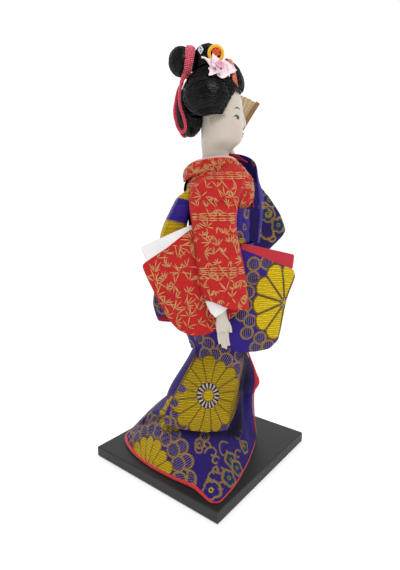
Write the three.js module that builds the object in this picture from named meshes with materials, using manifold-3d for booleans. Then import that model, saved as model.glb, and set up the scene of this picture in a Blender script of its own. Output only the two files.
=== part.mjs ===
// A dressed display doll of about thirty centimetres on a square black board.
// Millimetres, +Z up, +X to the doll's left, +Y to its back, origin under the middle of the board.
import * as THREE from "three";
import { mergeVertices } from "three/addons/utils/BufferGeometryUtils.js";
import Module from "manifold-3d";

const wasm = await Module();
wasm.setup();

// Driving dimensions
const seatGap = 0.3; // between pieces that touch
const board = { side: 120, thick: 8.6, edge: 0.7 };
const rod = { radius: 2.5, sunk: 5, intoBody: 60 };
const bodyY = -15; // the body stands this far in front of the board's middle
const height = { knee: 78, hip: 141, obiLow: 162, obiHigh: 186, shoulder: 204 };
const cloth = { kimono: 1.8, under: 1.6, obi: 2.4, collar: 1.6, lining: 1.2 };
const torso = { hipX: 20, hipY: 17, waistX: 18.5, waistY: 16 };
const chest = { halfX: 22, halfY: 17.5, tipX: 26, tipY: 19 };
const neck = { radius: 13.4, clearance: 0.5, pegRadius: 5, pegLength: 20, rise: 10 };
const throat = { front: -6.6, halfWide: 10.4, back: 12.7 }; // the neck is slimmer than the collars round it
height.neckSeat = height.shoulder + neck.rise; // the neck stands on the shoulders
const face = { halfWidth: 17.6, back: 13.2, turn: -0.2 }; // it looks a little to the doll's right
const hair = { width: 24, depth: 23.2, tall: 27.5, middleY: 5.5, middleZ: 44.4, lowCut: 35 };
const pompadour = { y: -4, z: 58, width: 16, depth: 13.6, tall: 16.6 };
const hairline = { lowY: 2, highY: -9, highZ: 52 };
const lobe = { x: 17, y: 11, z: 46, width: 12, depth: 16.6, tall: 13.4 };
const backHair = { y: 21.3, z: 41, width: 16, depth: 10.6, tall: 17.6 };
const mound = { y: 8.2, z: 73.4, width: 11, depth: 11.2, tall: 12 };
const bun = { y: 26.9, width: 10.4, depth: 8.9, tall: 9.8 };
const tie = { y: 22, outer: 10.2, inner: 6.4, wide: 6.8, lean: 0.21 };
const cord = { diameter: 2, sides: 8, steps: 24 };
const fan = { length: 44, leafFrom: 13, opening: 60, firstEdge: -35, pleats: 11, depth: 1.6, paper: 0.5 };
const fanPivot = { x: 36, y: -27, z: height.neckSeat + 19 };
const guard = { wide: 3.4, nearWide: 4.4, thick: 0.9, rivet: 1 };
const flower = { x: -19.4, y: 4.2, z: 62.4, throat: 2.9, deep: 4.2, tilt: 0.42 };
const petal = { count: 5, long: 12.6, wide: 11.6, thick: 0.9 };
const hoop = { x: -12.9, y: 4.2, z: 75.6, radius: 5.2, wire: 1.3 };
const pin = { y: 14, z: 78, halfWide: 3, halfTall: 2.1, bar: 0.8, needle: 7 };
const ribbon = { wide: 4.6, thick: 0.8, halfTurn: 1.75 };
const sleeve = { wall: 1.5, halfDeep: 15.8, halfWide: 9.6 };
const cuff = { point: 8.6, pointY: -5, pointHalf: 9, hollow: 4.6 };
const bag = { thick: 5.4, round: 1.6 };
const obiBow = { halfWide: 25 };
const hemRoll = { radius: 2.3, inset: 1.3 };
const skirtSteps = 32; // points round the skirt and the train

// Colours, as sRGB hex
const finish = {
  lacquer: { color: 0x262b2e, roughness: 0.55 },
  timber: { color: 0xc8a878, roughness: 0.8 },
  padding: { color: 0xe9e4d6, roughness: 0.95 },
  wire: { color: 0x8f9296, roughness: 0.4, metalness: 1 },
  skin: { color: 0xe2d8cd, roughness: 0.45 },
  hair: { color: 0x0d0d0f, roughness: 0.35 },
  purple: { color: 0x3a1f8f, roughness: 0.8 },
  red: { color: 0xcc2a2c, roughness: 0.8 },
  crimson: { color: 0xc8203c, roughness: 0.7 },
  white: { color: 0xe6e6e4, roughness: 0.85 },
  gold: { color: 0xd9b400, roughness: 0.6 },
  pink: { color: 0xf0ccd8, roughness: 0.5 },
  rose: { color: 0xd83a58, roughness: 0.75 },
  coral: { color: 0xd8604a, roughness: 0.6 },
  silver: { color: 0xc9ccd2, roughness: 0.25, metalness: 1 },
  fanPaper: { color: 0xc9b48e, roughness: 0.8 },
  fanWood: { color: 0x6b4a2c, roughness: 0.6 },
};

const figure = new THREE.Group(); // stands on the board's top face
figure.position.z = board.thick;
const root = new THREE.Group();
root.add(figure);
const head = new THREE.Group(); // turns on the neck's axis, and its origin is the neck's seat
head.position.set(0, bodyY, height.neckSeat);
figure.add(head);

const point = (x, y, z) => new THREE.Vector3(x, y, z);
const mix = (a, b, t) => a + (b - a) * t;
const clamp = (v, low, high) => Math.min(high, Math.max(low, v));
const smooth = (v, low, high) => {
  const t = clamp((v - low) / (high - low), 0, 1);
  return t * t * (3 - 2 * t);
};

function add(parent, name, geometry, look) {
  const shape = geometry.index ? geometry.clone() : mergeVertices(geometry, 1e-4);
  const mesh = new THREE.Mesh(shape, new THREE.MeshStandardMaterial(look));
  mesh.geometry.computeVertexNormals();
  mesh.name = name;
  parent.add(mesh);
  return mesh;
}

// Closed meshes, and joining and cutting them
function fromLists(points, faces) {
  const geometry = new THREE.BufferGeometry();
  const flat = points.flatMap((p) => [p.x, p.y, p.z]);
  geometry.setAttribute("position", new THREE.Float32BufferAttribute(flat, 3));
  geometry.setIndex(faces.flat());
  return geometry;
}

function bare(geometry) {
  const copy = geometry.clone();
  copy.deleteAttribute("normal");
  copy.deleteAttribute("uv");
  return mergeVertices(copy, 1e-4);
}

function solidOf(geometry) {
  const closed = bare(geometry);
  const mesh = new wasm.Mesh({
    numProp: 3,
    vertProperties: new Float32Array(closed.attributes.position.array),
    triVerts: new Uint32Array(closed.index.array),
  });
  return new wasm.Manifold(mesh);
}

function geometryOf(solid) {
  const mesh = solid.getMesh();
  const geometry = new THREE.BufferGeometry();
  geometry.setAttribute("position", new THREE.BufferAttribute(mesh.vertProperties, 3));
  geometry.setIndex(new THREE.BufferAttribute(mesh.triVerts, 1));
  return geometry;
}

const join = (...parts) => geometryOf(parts.map(solidOf).reduce((a, b) => a.add(b)));
const cut = (body, ...tools) =>
  geometryOf(tools.map(solidOf).reduce((a, b) => a.subtract(b), solidOf(body)));
const common = (a, b) => geometryOf(solidOf(a).intersect(solidOf(b)));

// The largest body of a cut piece: slivers that a cut leaves behind are dropped
function largest(geometry) {
  const bodies = solidOf(geometry).decompose();
  bodies.sort((a, b) => b.volume() - a.volume());
  return geometryOf(bodies[0]);
}

// A skin through rings of points, each counter-clockwise seen from the last ring's side
function loft(rings) {
  const count = rings[0].length;
  const points = rings.flat();
  const faces = [];
  for (let i = 0; i < rings.length - 1; i += 1) {
    for (let j = 0; j < count; j += 1) {
      const a = i * count + j;
      const b = i * count + ((j + 1) % count);
      faces.push([a, b, b + count], [a, b + count, a + count]);
    }
  }
  const middleOf = (ring) => ring.reduce((sum, p) => sum.add(p), point(0, 0, 0)).divideScalar(count);
  const first = points.length;
  points.push(middleOf(rings[0]), middleOf(rings[rings.length - 1]));
  const lastRing = (rings.length - 1) * count;
  for (let j = 0; j < count; j += 1) {
    const next = (j + 1) % count;
    faces.push([first, next, j], [first + 1, lastRing + j, lastRing + next]);
  }
  return fromLists(points, faces);
}

// The wall between outer rings and inner rings, open at both ends
function wall(outer, inner) {
  const count = outer[0].length;
  const rows = outer.length;
  const points = [...outer.flat(), ...inner.flat()];
  const faces = [];
  const start = rows * count;
  for (let i = 0; i < rows - 1; i += 1) {
    for (let j = 0; j < count; j += 1) {
      const a = i * count + j;
      const b = i * count + ((j + 1) % count);
      faces.push([a, b, b + count], [a, b + count, a + count]);
      const [c, d] = [start + a, start + b];
      faces.push([d, c, c + count], [d, c + count, d + count]);
    }
  }
  const last = (rows - 1) * count;
  for (let j = 0; j < count; j += 1) {
    const next = (j + 1) % count;
    faces.push([j, start + j, start + next], [j, start + next, next]);
    const [a, b] = [last + j, last + next];
    faces.push([a, b, start + b], [a, start + b, start + a]);
  }
  return fromLists(points, faces);
}

// A flat oval ring at height z, with rounder or squarer corners by its power
function oval(x, y, z, halfX, halfY, count, power = 2) {
  const ring = [];
  for (let k = 0; k < count; k += 1) {
    const angle = (2 * Math.PI * k) / count;
    const c = Math.cos(angle);
    const s = Math.sin(angle);
    const reach = (Math.abs(c) ** power + Math.abs(s) ** power) ** (-1 / power);
    ring.push(point(x + halfX * c * reach, y + halfY * s * reach, z));
  }
  return ring;
}

function ovoid(x, y, z, halfX, halfY, halfZ, grow = 0, around = 16, rows = 10) {
  const ball = new THREE.SphereGeometry(1, around, rows);
  ball.rotateX(Math.PI / 2);
  ball.scale(halfX + grow, halfY + grow, halfZ + grow);
  ball.translate(x, y, z);
  return bare(ball);
}

// A flat strip along a path: wide across the path and thick along the face direction
function strip(path, faceAt, wideAt, thick, steps) {
  const curve = new THREE.CatmullRomCurve3(path, false, "centripetal");
  const rings = [];
  for (let i = 0; i <= steps; i += 1) {
    const t = i / steps;
    const middle = curve.getPointAt(t);
    const along = curve.getTangentAt(t);
    const out = faceAt(middle, t);
    out.addScaledVector(along, -out.dot(along)).normalize();
    const side = along.clone().cross(out);
    const corner = (a, b) =>
      middle.clone().addScaledVector(side, (a * wideAt(t)) / 2).addScaledVector(out, (b * thick) / 2);
    rings.push([corner(1, 1), corner(-1, 1), corner(-1, -1), corner(1, -1)].reverse());
  }
  return loft(rings);
}

function tube(path, radius, steps, sides, grow = 0) {
  const curve = new THREE.CatmullRomCurve3(path, false, "centripetal");
  const section = new THREE.Shape();
  for (let k = 0; k < sides; k += 1) {
    const angle = (2 * Math.PI * k) / sides;
    const x = (radius + grow) * Math.cos(angle);
    const y = (radius + grow) * Math.sin(angle);
    if (k === 0) section.moveTo(x, y);
    else section.lineTo(x, y);
  }
  section.closePath();
  return bare(new THREE.ExtrudeGeometry(section, { steps, extrudePath: curve, bevelEnabled: false }));
}

// Board, rod and padded body
function makeBoard() {
  const inner = board.side - 2 * board.edge;
  const square = new THREE.Shape();
  square.moveTo(-inner / 2, -inner / 2);
  square.lineTo(inner / 2, -inner / 2);
  square.lineTo(inner / 2, inner / 2);
  square.lineTo(-inner / 2, inner / 2);
  square.closePath();
  const slab = new THREE.ExtrudeGeometry(square, {
    depth: board.thick - 2 * board.edge,
    bevelThickness: board.edge,
    bevelSize: board.edge,
    bevelSegments: 1,
    steps: 1,
  });
  slab.rotateZ(Math.PI / 4);
  slab.translate(0, 0, board.edge);
  const hole = rodShape(seatGap);
  hole.translate(0, 0, board.thick);
  return cut(slab, hole);
}

const rodTop = height.knee + rod.intoBody;

function rodShape(grow) {
  const low = -rod.sunk - grow;
  const high = rodTop + grow;
  const peg = new THREE.CylinderGeometry(rod.radius + grow, rod.radius + grow, high - low, 16);
  peg.rotateX(Math.PI / 2);
  peg.translate(0, bodyY, (low + high) / 2);
  return bare(peg);
}

// The padded body's section at each height: half width, half depth and middle in y.
// Every garment follows it.
const bodyRows = [
  [height.knee - 16, 9, 9, bodyY],
  [height.knee - 6, 13, 12, bodyY],
  [height.knee + 20, 15.5, 14.5, bodyY],
  [height.hip, torso.hipX, torso.hipY, bodyY],
  [height.obiLow, torso.waistX, torso.waistY, bodyY + 1],
  [height.obiHigh - 6, torso.waistX, torso.waistY, bodyY + 1],
  [height.obiHigh + 6, chest.halfX, chest.halfY, bodyY + 2.5],
  [height.shoulder - 2, chest.tipX, chest.tipY, bodyY + 3.5],
  [height.shoulder + 5, chest.tipX - 4, chest.tipY - 2, bodyY + 2.5],
  [height.neckSeat, neck.radius + 1.5, neck.radius + 0.6, bodyY],
];

function bodyRowAt(z) {
  const above = bodyRows.findIndex(([rowZ]) => rowZ >= z);
  const upper = bodyRows[Math.max(above, 1)];
  const lower = bodyRows[Math.max(above, 1) - 1];
  const t = clamp((z - lower[0]) / (upper[0] - lower[0]), 0, 1);
  return [z, ...[1, 2, 3].map((k) => mix(lower[k], upper[k], t))];
}

function bodyShape(grow, low = -Infinity, high = Infinity, count = 20) {
  const rows = bodyRows.filter(([z]) => z > low && z < high);
  if (low > -Infinity) rows.unshift(bodyRowAt(low));
  if (high < Infinity) rows.push(bodyRowAt(high));
  return loft(rows.map(([z, x, y, middle]) => oval(0, middle, z, x + grow, y + grow, count, 2.4)));
}

function pegShape(grow) {
  const low = -neck.pegLength - grow;
  const peg = new THREE.CylinderGeometry(neck.pegRadius + grow, neck.pegRadius + grow, 2 - low, 20);
  peg.rotateX(Math.PI / 2);
  peg.translate(0, 0, (2 + low) / 2);
  return bare(peg);
}

function makeBody() {
  const socket = pegShape(seatGap);
  socket.translate(0, bodyY, height.neckSeat);
  return cut(bodyShape(0), rodShape(seatGap), socket, ...wireHoles());
}

// Skirt and train: one surface round the body whose reach is set for each direction and height
const skirtRows = [
  // height, reach to the front, back, right and left of the body's axis
  [height.obiLow, 20.5, 20.5, 23, 23],
  [height.hip, 22.5, 24, 25, 25],
  [height.knee + 33, 21.5, 25, 23.5, 23.5],
  [height.knee + 13, 20, 22.6, 21, 21],
  [height.knee + 3, 20, 20.2, 20.5, 20],
  [height.knee - 5, 21.5, 24, 21.5, 20.5],
  [height.knee - 15, 25.5, 30, 22.5, 22],
  [height.knee - 27, 25.5, 36.5, 24, 25],
  [height.knee - 40, 25.5, 41, 26, 27],
];
const flareTop = height.knee - 40;
const sweep = { toward: 2.3, spread: 0.5, reach: 16 }; // the skirt swings out to the right and back

// The hem on the board, seen from above, from the front edge round the right side to the back and left
const hemOutline = [
  [0.8, -44.7],
  [-28.5, -34],
  [-52.7, -20.8],
  [-67.5, -10.5],
  [-77, 0.6],
  [-61.5, 12.5],
  [-48.3, 27.5],
  [-30.3, 45],
  [-8.7, 58.7],
  [11, 63],
  [24, 54],
  [32, 40],
  [36, 22],
  [34, 3],
  [29, -16],
  [21, -32],
  [11, -41.5],
];

const hemCurve = new THREE.CatmullRomCurve3(
  hemOutline.map(([x, y]) => point(x, y, 0)),
  true,
  "centripetal",
);
const hemSamples = hemCurve.getSpacedPoints(400).slice(0, 400);

function hemReach(angle) {
  const wanted = Math.atan2(Math.sin(angle), Math.cos(angle));
  let best = 0;
  let bestMiss = Infinity;
  for (const p of hemSamples) {
    const own = Math.atan2(p.y - bodyY, p.x);
    const miss = Math.abs(Math.atan2(Math.sin(own - wanted), Math.cos(own - wanted)));
    if (miss < bestMiss) {
      bestMiss = miss;
      best = Math.hypot(p.x, p.y - bodyY);
    }
  }
  return best;
}

// Reach of the skirt in one direction, above the flare
function skirtReach(angle, z) {
  const c = Math.cos(angle);
  const s = Math.sin(angle);
  let above = skirtRows.findIndex(([rowZ]) => rowZ <= z);
  if (above < 0) above = skirtRows.length - 1;
  const upper = skirtRows[Math.max(above - 1, 0)];
  const lower = skirtRows[Math.max(above, 1)];
  const t = clamp((upper[0] - z) / (upper[0] - lower[0] || 1), 0, 1);
  const [front, back, right, left] = [1, 2, 3, 4].map((k) => mix(upper[k], lower[k], t));
  const halfX = c < 0 ? right : left;
  const halfY = s < 0 ? front : back;
  const oval = (Math.abs(c / halfX) ** 2.2 + Math.abs(s / halfY) ** 2.2) ** (-1 / 2.2);
  const turned = (angle - sweep.toward) / sweep.spread;
  return oval + sweep.reach * smooth(height.knee + 12 - z, 0, 52) * Math.exp(-(turned ** 2));
}

// The fold beside the front edge, and soft folds round the left and back
function foldAt(angle, depth) {
  const besideEdge = Math.exp(-(((angle - 4.05) / 0.33) ** 2)) * -5.5;
  const soft = Math.cos(angle * 7) * 1.3;
  return (besideEdge + soft) * depth;
}

// The train swells out to the front edge where that stands furthest forward
function frontSwell(angle, z) {
  return 2.6 * Math.exp(-(((angle - 4.6) / 0.3) ** 2)) * Math.exp(-(((z - 51) / 6) ** 2));
}

function trainReach(angle, z) {
  const upper = skirtReach(angle, Math.max(z, flareTop));
  const fold = foldAt(angle, smooth(height.knee - z, 0, 30) * 0.8);
  if (z >= flareTop) return upper + fold + frontSwell(angle, z);
  const backness = smooth(Math.sin(angle), -0.2, 0.75);
  const power = mix(2, 0.5, backness);
  const share = (1 - Math.max(z, 0) / flareTop) ** power;
  return mix(upper, hemReach(angle), share) + foldAt(angle, (1 - share) * 0.8);
}

function skirtRing(z, grow, count, shrink = 0) {
  const ring = [];
  for (let k = 0; k < count; k += 1) {
    const angle = (2 * Math.PI * k) / count;
    const reach = trainReach(angle, z) + grow - shrink;
    ring.push(point(reach * Math.cos(angle), bodyY + reach * Math.sin(angle), z));
  }
  return ring;
}

const trainTop = height.knee + 2;

function trainShape(grow) {
  const levels = [3.4, 6, 11, 18, 27, flareTop, 52, 66, trainTop];
  const rings = levels.map((z) => skirtRing(z, grow, skirtSteps));
  const under = skirtRing(3.4, grow, skirtSteps, 6).map((p) => point(p.x, p.y, seatGap));
  return loft([under, ...rings]);
}

function hemPath(inset, z, from, to, count) {
  const points = [];
  for (let k = 0; k <= count; k += 1) {
    const p = hemCurve.getPointAt(mix(from, to, k / count));
    const out = point(p.x, p.y - bodyY, 0).normalize();
    points.push(point(p.x - out.x * inset, p.y - out.y * inset, z));
  }
  return points;
}

const hemMiddleZ = seatGap + hemRoll.radius;
const hemTube = (grow) =>
  tube(hemPath(hemRoll.inset, hemMiddleZ, 0.02, 0.93, 44), hemRoll.radius, 34, 8, grow);

// The red front edge hangs in waves from the knees to the board
const frontEdge = [
  point(-3, -36.6, height.knee - 3),
  point(-4.5, -39.6, height.knee - 15),
  point(-6, -44.6, height.knee - 24),
  point(-6, -44.2, height.knee - 31),
  point(-5.5, -42, height.knee - 37),
  point(-5, -43.2, height.knee - 44),
  point(-4, -45, height.knee - 56),
  point(-3, -45, hemMiddleZ * 2 + 2),
];
const frontEdgeShape = (grow) =>
  strip(frontEdge, () => point(-0.5, -1, 0), () => 5 + 2 * grow, 2 + 2 * grow, 16);

// The outer skirt: short round the left, long on the right where its flowered panel hangs free
const panel = { back: 2.46, front: 3.72, turn: 0.36, backLow: 34, frontLow: 21, hang: 4.4 };

// How much of the panel lies in one direction: 0 outside its side edges, 1 inside them
function panelShare(angle) {
  const behind = smooth(angle, panel.back - 0.2, panel.back + 0.12);
  return behind * (1 - smooth(angle, panel.front - 0.1, panel.front + 0.22));
}

function overRing(t, extra, grow, count) {
  const ring = [];
  for (let k = 0; k < count; k += 1) {
    const flat = (2 * Math.PI * k) / count;
    const share = panelShare(flat);
    const lowEdge = mix(panel.backLow, panel.frontLow, smooth(flat, panel.back, panel.front));
    const z = mix(height.obiLow - seatGap, mix(height.knee + 5, lowEdge, share) - grow, t);
    const below = smooth(height.knee + 12 - z, 0, height.knee - 20);
    const angle = flat - panel.turn * below * share;
    const reach = skirtReach(angle, Math.max(z, flareTop)) + extra + panel.hang * below * share;
    ring.push(point(reach * Math.cos(angle), bodyY + reach * Math.sin(angle), z));
  }
  return ring;
}

const overRows = 6;

function overShape(grow) {
  const outer = [];
  const inner = [];
  for (let i = overRows; i >= 0; i -= 1) {
    const t = (i / overRows) ** 0.9;
    outer.push(overRing(t, 2.6 + cloth.kimono + grow, grow, skirtSteps));
    inner.push(overRing(t, 2.6 - grow, grow, skirtSteps));
  }
  return wall(outer, inner);
}

// Garments round the chest
const underLayer = seatGap + cloth.under;
const kimonoLayer = underLayer + seatGap + cloth.kimono;
const obiLayer = kimonoLayer + seatGap + cloth.obi;

function halfSpace(normal, distance, size = 400) {
  const box = new THREE.BoxGeometry(size, size, size);
  box.translate(0, 0, size / 2 + distance);
  const turn = new THREE.Quaternion().setFromUnitVectors(point(0, 0, 1), normal.clone().normalize());
  box.applyQuaternion(turn);
  return bare(box);
}

// The neck with its clearance, so that the head turns free of the collars
function neckColumn() {
  const reach = neck.radius + neck.clearance;
  const column = new THREE.CylinderGeometry(reach, reach, 30, 32);
  column.rotateX(Math.PI / 2);
  column.translate(0, bodyY, height.neckSeat + 8);
  return bare(column);
}

const neckHole = () => {
  const hole = new THREE.CylinderGeometry(neck.radius + 1, neck.radius + 1, 40, 24);
  hole.rotateX(Math.PI / 2);
  hole.translate(0, bodyY, height.neckSeat);
  return bare(hole);
};

function layer(inside, outside, low, high) {
  return cut(bodyShape(outside, low, high), bodyShape(inside, low - 2, high + 2));
}

// Collars: strips that lie round the neck, stand away from the nape and cross on the chest
function collarPath(out, nape, lift, low, reachX) {
  const sideX = neck.radius + out;
  const right = [
    point(-reachX, bodyY - chest.halfY - out - 1.5, low),
    point(-reachX - 5, bodyY - chest.halfY - out, mix(low, height.neckSeat, 0.55)),
    point(-sideX + 1, bodyY - 8, height.neckSeat + lift - 0.6),
    point(-sideX - 1, bodyY + 3, height.neckSeat + lift + 0.6),
    point(-sideX * 0.72, bodyY + mix(neck.radius, neck.radius + nape, 0.62), height.neckSeat + lift - 2),
  ];
  const left = right.map((p) => point(-p.x, p.y, p.z)).reverse();
  return [...right, point(0, bodyY + neck.radius + nape, height.neckSeat + lift - 5), ...left];
}

const outFromNeck = (p) => point(p.x, (p.y - bodyY) * 1.1, 4);
const collarSizes = {
  inner: { out: 1.6, nape: 9.4, lift: 5.2, wide: 8, low: height.obiHigh + 4, reachX: 1.6 },
  red: { out: 4.8, nape: 12.2, lift: 1.8, wide: 10, low: height.obiHigh + 3, reachX: 3.4 },
};

function collarShape(name, grow) {
  const { out, nape, lift, wide, low, reachX } = collarSizes[name];
  const route = collarPath(out, nape, lift, low, reachX);
  return strip(route, outFromNeck, () => wide + 2 * grow, cloth.collar + 2 * grow, 20);
}

const collars = {
  inner: (grow) => collarShape("inner", grow),
  red: (grow) => collarShape("red", grow),
};

// The purple collar band runs from behind the left shoulder down the front to the obi's lower edge
const bandPath = [
  point(-4, -43.6, height.obiLow - 1),
  point(-5, -44.8, height.obiHigh - 10),
  point(-5, -45.4, height.obiHigh + 5),
  point(2, -45.4, height.obiHigh + 18),
  point(12, -41, height.neckSeat + 4),
  point(20, -30, height.neckSeat + 9),
  point(23, -15, height.neckSeat + 8),
  point(20.5, 0, height.neckSeat + 4),
  point(11, 10.5, height.neckSeat - 1),
];
const bandFace = (p) => point(p.x * 0.6, p.y - bodyY, 9);
const bandWide = (t) => 7.5 + 5 * Math.sin(Math.PI * clamp((t - 0.1) / 0.9, 0, 1));
const bandShape = (grow) =>
  strip(bandPath, bandFace, (t) => bandWide(t) + 2 * grow, cloth.collar + 2 * grow, 20);
const bandLining = bandPath.slice(3).map((p) => point(p.x * 0.88, mix(p.y, bodyY, 0.1), p.z + 3.2));
const liningShape = (grow) =>
  strip(bandLining, bandFace, () => 5.4 + 2 * grow, cloth.lining + 2 * grow, 14);

// Sleeves: a tube round the arm, with a flat bag that hangs from it
const rightArm = [
  // height, middle x, middle y, half width in x, half depth in y
  [height.shoulder + 8.5, -20, -12, 6, 11],
  [height.shoulder + 5.5, -24.5, -11, 9.5, 17.5],
  [height.shoulder - 2, -29, -9, 11, 18.6],
  [height.obiHigh + 7, -32, -6.2, 11, 16.4],
  [height.obiHigh, -34.5, -5.6, 10.5, 15.6],
  [height.obiLow + 8, -37, -6.2, 9.8, 15],
  [height.hip + 6, -38.5, -9.6, 9.6, 16],
  [height.hip - 15, -39, -12.6, sleeve.halfWide, sleeve.halfDeep],
  [height.hip - 19.5, -39, -13.2, sleeve.halfWide, sleeve.halfDeep],
];

const cuffTilt = 0.12; // the sleeve's edge rises to the back

function armRings(rows, grow, count) {
  return rows
    .map(([z, x, y, halfX, halfY], i) => {
      const ring = oval(x, y, z, halfX + grow, halfY + grow, count, 2.3);
      const tilt = i === rows.length - 1 ? cuffTilt : 0;
      return ring.map((p) => point(p.x, p.y, p.z + (p.y - y) * tilt));
    })
    .reverse();
}

// A flat bag from its outline in the doll's side view, with rounded edges
function pouch(outline, place, thick, grow = 0, count = 32) {
  const flat = new THREE.CatmullRomCurve3(
    outline.map(([y, z]) => point(0, y, z)),
    true,
    "catmullrom",
    0.25,
  );
  const share = 1 / outline.length;
  const middle = outline.reduce((sum, [y, z]) => [sum[0] + y * share, sum[1] + z * share], [0, 0]);
  const samples = flat.getSpacedPoints(count).slice(0, count);
  const turn = samples.reduce((sum, p, i) => {
    const q = samples[(i + 1) % count];
    return sum + p.y * q.z - q.y * p.z;
  }, 0);
  if (turn < 0) samples.reverse();
  const round = Math.min(bag.round, thick * 0.3);
  const depths = [
    [-thick / 2 - grow, round],
    [-thick / 2 + round - grow, 0],
    [thick / 2 - round + grow, 0],
    [thick / 2 + grow, round],
  ];
  const rings = depths.map(([d, inset]) =>
    samples.map((p) => {
      const away = point(0, p.y - middle[0], p.z - middle[1]);
      const length = away.length();
      const scale = (length - inset + grow) / length;
      const y = middle[0] + away.y * scale;
      const z = middle[1] + away.z * scale;
      return point(place(y, z) + d, y, z);
    }),
  );
  return loft(rings);
}

const low = (drop) => height.hip - drop; // heights of the hanging sleeves go with the hips

const rightBagOutline = [
  [4, low(-30)],
  [10, low(-32)],
  [26, low(-20.5)],
  [42.4, low(-9)],
  [36, low(8)],
  [27, low(27)],
  [20, low(36)],
  [10, low(41)],
  [-2, low(40)],
  [-14, low(32)],
  [-27, low(21)],
  [-27, low(14)],
];
const rightBagAt = (y, z) => -35.2 - 0.02 * (low(0) - z);
const rightLiningOutline = [
  [8, low(-24)],
  [9, low(-35.2)],
  [43, low(-21)],
  [40, low(-12)],
  [34, low(0)],
  [14, low(0)],
];

const slippedOutline = [
  [-24, low(-18)],
  [-44, low(-10.5)],
  [-64, low(-1.8)],
  [-65.3, low(3)],
  [-59.8, low(19)],
  [-53.9, low(49.5)],
  [-47.3, low(56)],
  [-36.2, low(57.7)],
  [-22, low(56.5)],
  [-8, low(48)],
  [8, low(38)],
  [24, low(32.5)],
  [33, low(31)],
  [36.4, low(19)],
  [34, low(5)],
  [10, low(-9)],
];
const slippedAt = (y, z) => -28.9 + 0.02 * (low(30) - z) + 0.07 * Math.max(-30 - y, 0);
const slippedLiningOutline = [
  [-26, low(-10)],
  [-25, low(-22)],
  [-45, low(-17.6)],
  [-64, low(-12.8)],
  [-63.2, low(-3)],
  [-45, low(2)],
  [-30, low(4)],
];

const leftSleeveOutline = [
  [-20, height.shoulder + 13],
  [-36, height.shoulder + 14.6],
  [-51, height.shoulder + 5],
  [-63, height.shoulder - 8],
  [-73, height.shoulder - 22.6],
  [-78, height.shoulder - 36],
  [-75.6, height.shoulder - 41],
  [-64.6, height.shoulder - 52],
  [-51, height.shoulder - 65],
  [-36, height.shoulder - 75],
  [-22, height.shoulder - 77],
  [-14, height.shoulder - 66],
  [-11, height.shoulder - 40],
  [-12, height.shoulder - 12],
];
const leftSleeveAt = (y, z) => 37.5 + 0.05 * (height.shoulder - z) * 0.4;
const leftLiningOutline = leftSleeveOutline.slice(1, 6).concat([
  [-58, height.shoulder - 30],
  [-46, height.shoulder - 10],
  [-36, height.shoulder - 1],
]);

// Head: rings from the neck up, each with its front, half width and back
const headRows = [
  [seatGap, throat.front, throat.halfWide, throat.back, 2],
  [9, throat.front, throat.halfWide, throat.back, 2],
  [13, throat.front - 0.9, throat.halfWide + 0.8, throat.back, 2],
  [15.6, -10.4, 12.8, 13, 2],
  [17.8, -13.9, 14.6, 13.2, 2.05],
  [20.3, -15.9, 15.6, face.back, 2.1],
  [23.8, -16.5, 16.3, face.back, 2.15],
  [28, -16.9, 17, face.back, 2.15],
  [33, -17, face.halfWidth, face.back, 2.15],
  [39.9, -16.5, face.halfWidth, face.back + 1, 2.1],
  [47, -16, 17.2, face.back + 2, 2.1],
  [54, -13.2, 15.6, face.back + 2, 2],
  [60, -8, 11, 11, 2],
];

function headRing([z, front, halfX, back, power], grow, count) {
  const middleY = (front + back) / 2;
  return oval(0, middleY, z, halfX + grow, (back - front) / 2 + grow, count, power);
}

function headShape(grow = 0) {
  const skull = loft(headRows.map((row) => headRing(row, grow, 26)));
  skull.rotateZ(face.turn);
  if (grow > 0) return skull;
  const nose = new THREE.ConeGeometry(2.2, 7.5, 10);
  nose.rotateX(Math.PI / 2 + 0.05);
  nose.scale(0.85, 0.36, 1);
  nose.rotateX(-Math.PI / 2 + 0.24);
  nose.translate(0, -16.7, 33.4);
  const lips = ovoid(0, -15.9, 24.6, 3, 1.5, 1.5, 0, 10, 6);
  const chin = ovoid(0, -12.6, 19.6, 5, 3.5, 3.2, 0, 12, 8);
  const features = join(bare(nose), lips, chin);
  features.rotateZ(face.turn);
  return join(skull, features, pegShape(0));
}

const hairFront = (grow) =>
  ovoid(0, pompadour.y, pompadour.z, pompadour.width, pompadour.depth, pompadour.tall, grow, 16, 8);
const hairCap = (grow) =>
  join(
    ovoid(0, hair.middleY, hair.middleZ, hair.width, hair.depth, hair.tall, grow, 24, 14),
    hairFront(grow),
  );
const hairLobe = (side, grow) =>
  ovoid(side * lobe.x, lobe.y, lobe.z, lobe.width, lobe.depth, lobe.tall, grow, 18, 12);
const tabo = (grow) =>
  ovoid(0, backHair.y, backHair.z, backHair.width, backHair.depth, backHair.tall, grow, 18, 12);

function topknotShape(grow) {
  const front = ovoid(0, mound.y, mound.z, mound.width, mound.depth, mound.tall, grow, 16, 10);
  const rear = ovoid(0, bun.y, mound.z, bun.width, bun.depth, bun.tall, grow, 14, 9);
  const waist = new THREE.CylinderGeometry(tie.inner + grow - seatGap, tie.inner + grow - seatGap, 16, 12);
  waist.translate(0, tie.y, mound.z);
  return join(front, rear, bare(waist));
}

// The face shows through this upright oval window in the hair
function faceWindow() {
  const hole = new THREE.CylinderGeometry(1, 1, 60, 36);
  hole.scale(face.halfWidth - 0.6, 1, 26.4);
  hole.translate(0, -30 + 2.6, 27.4);
  return bare(hole);
}

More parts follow.
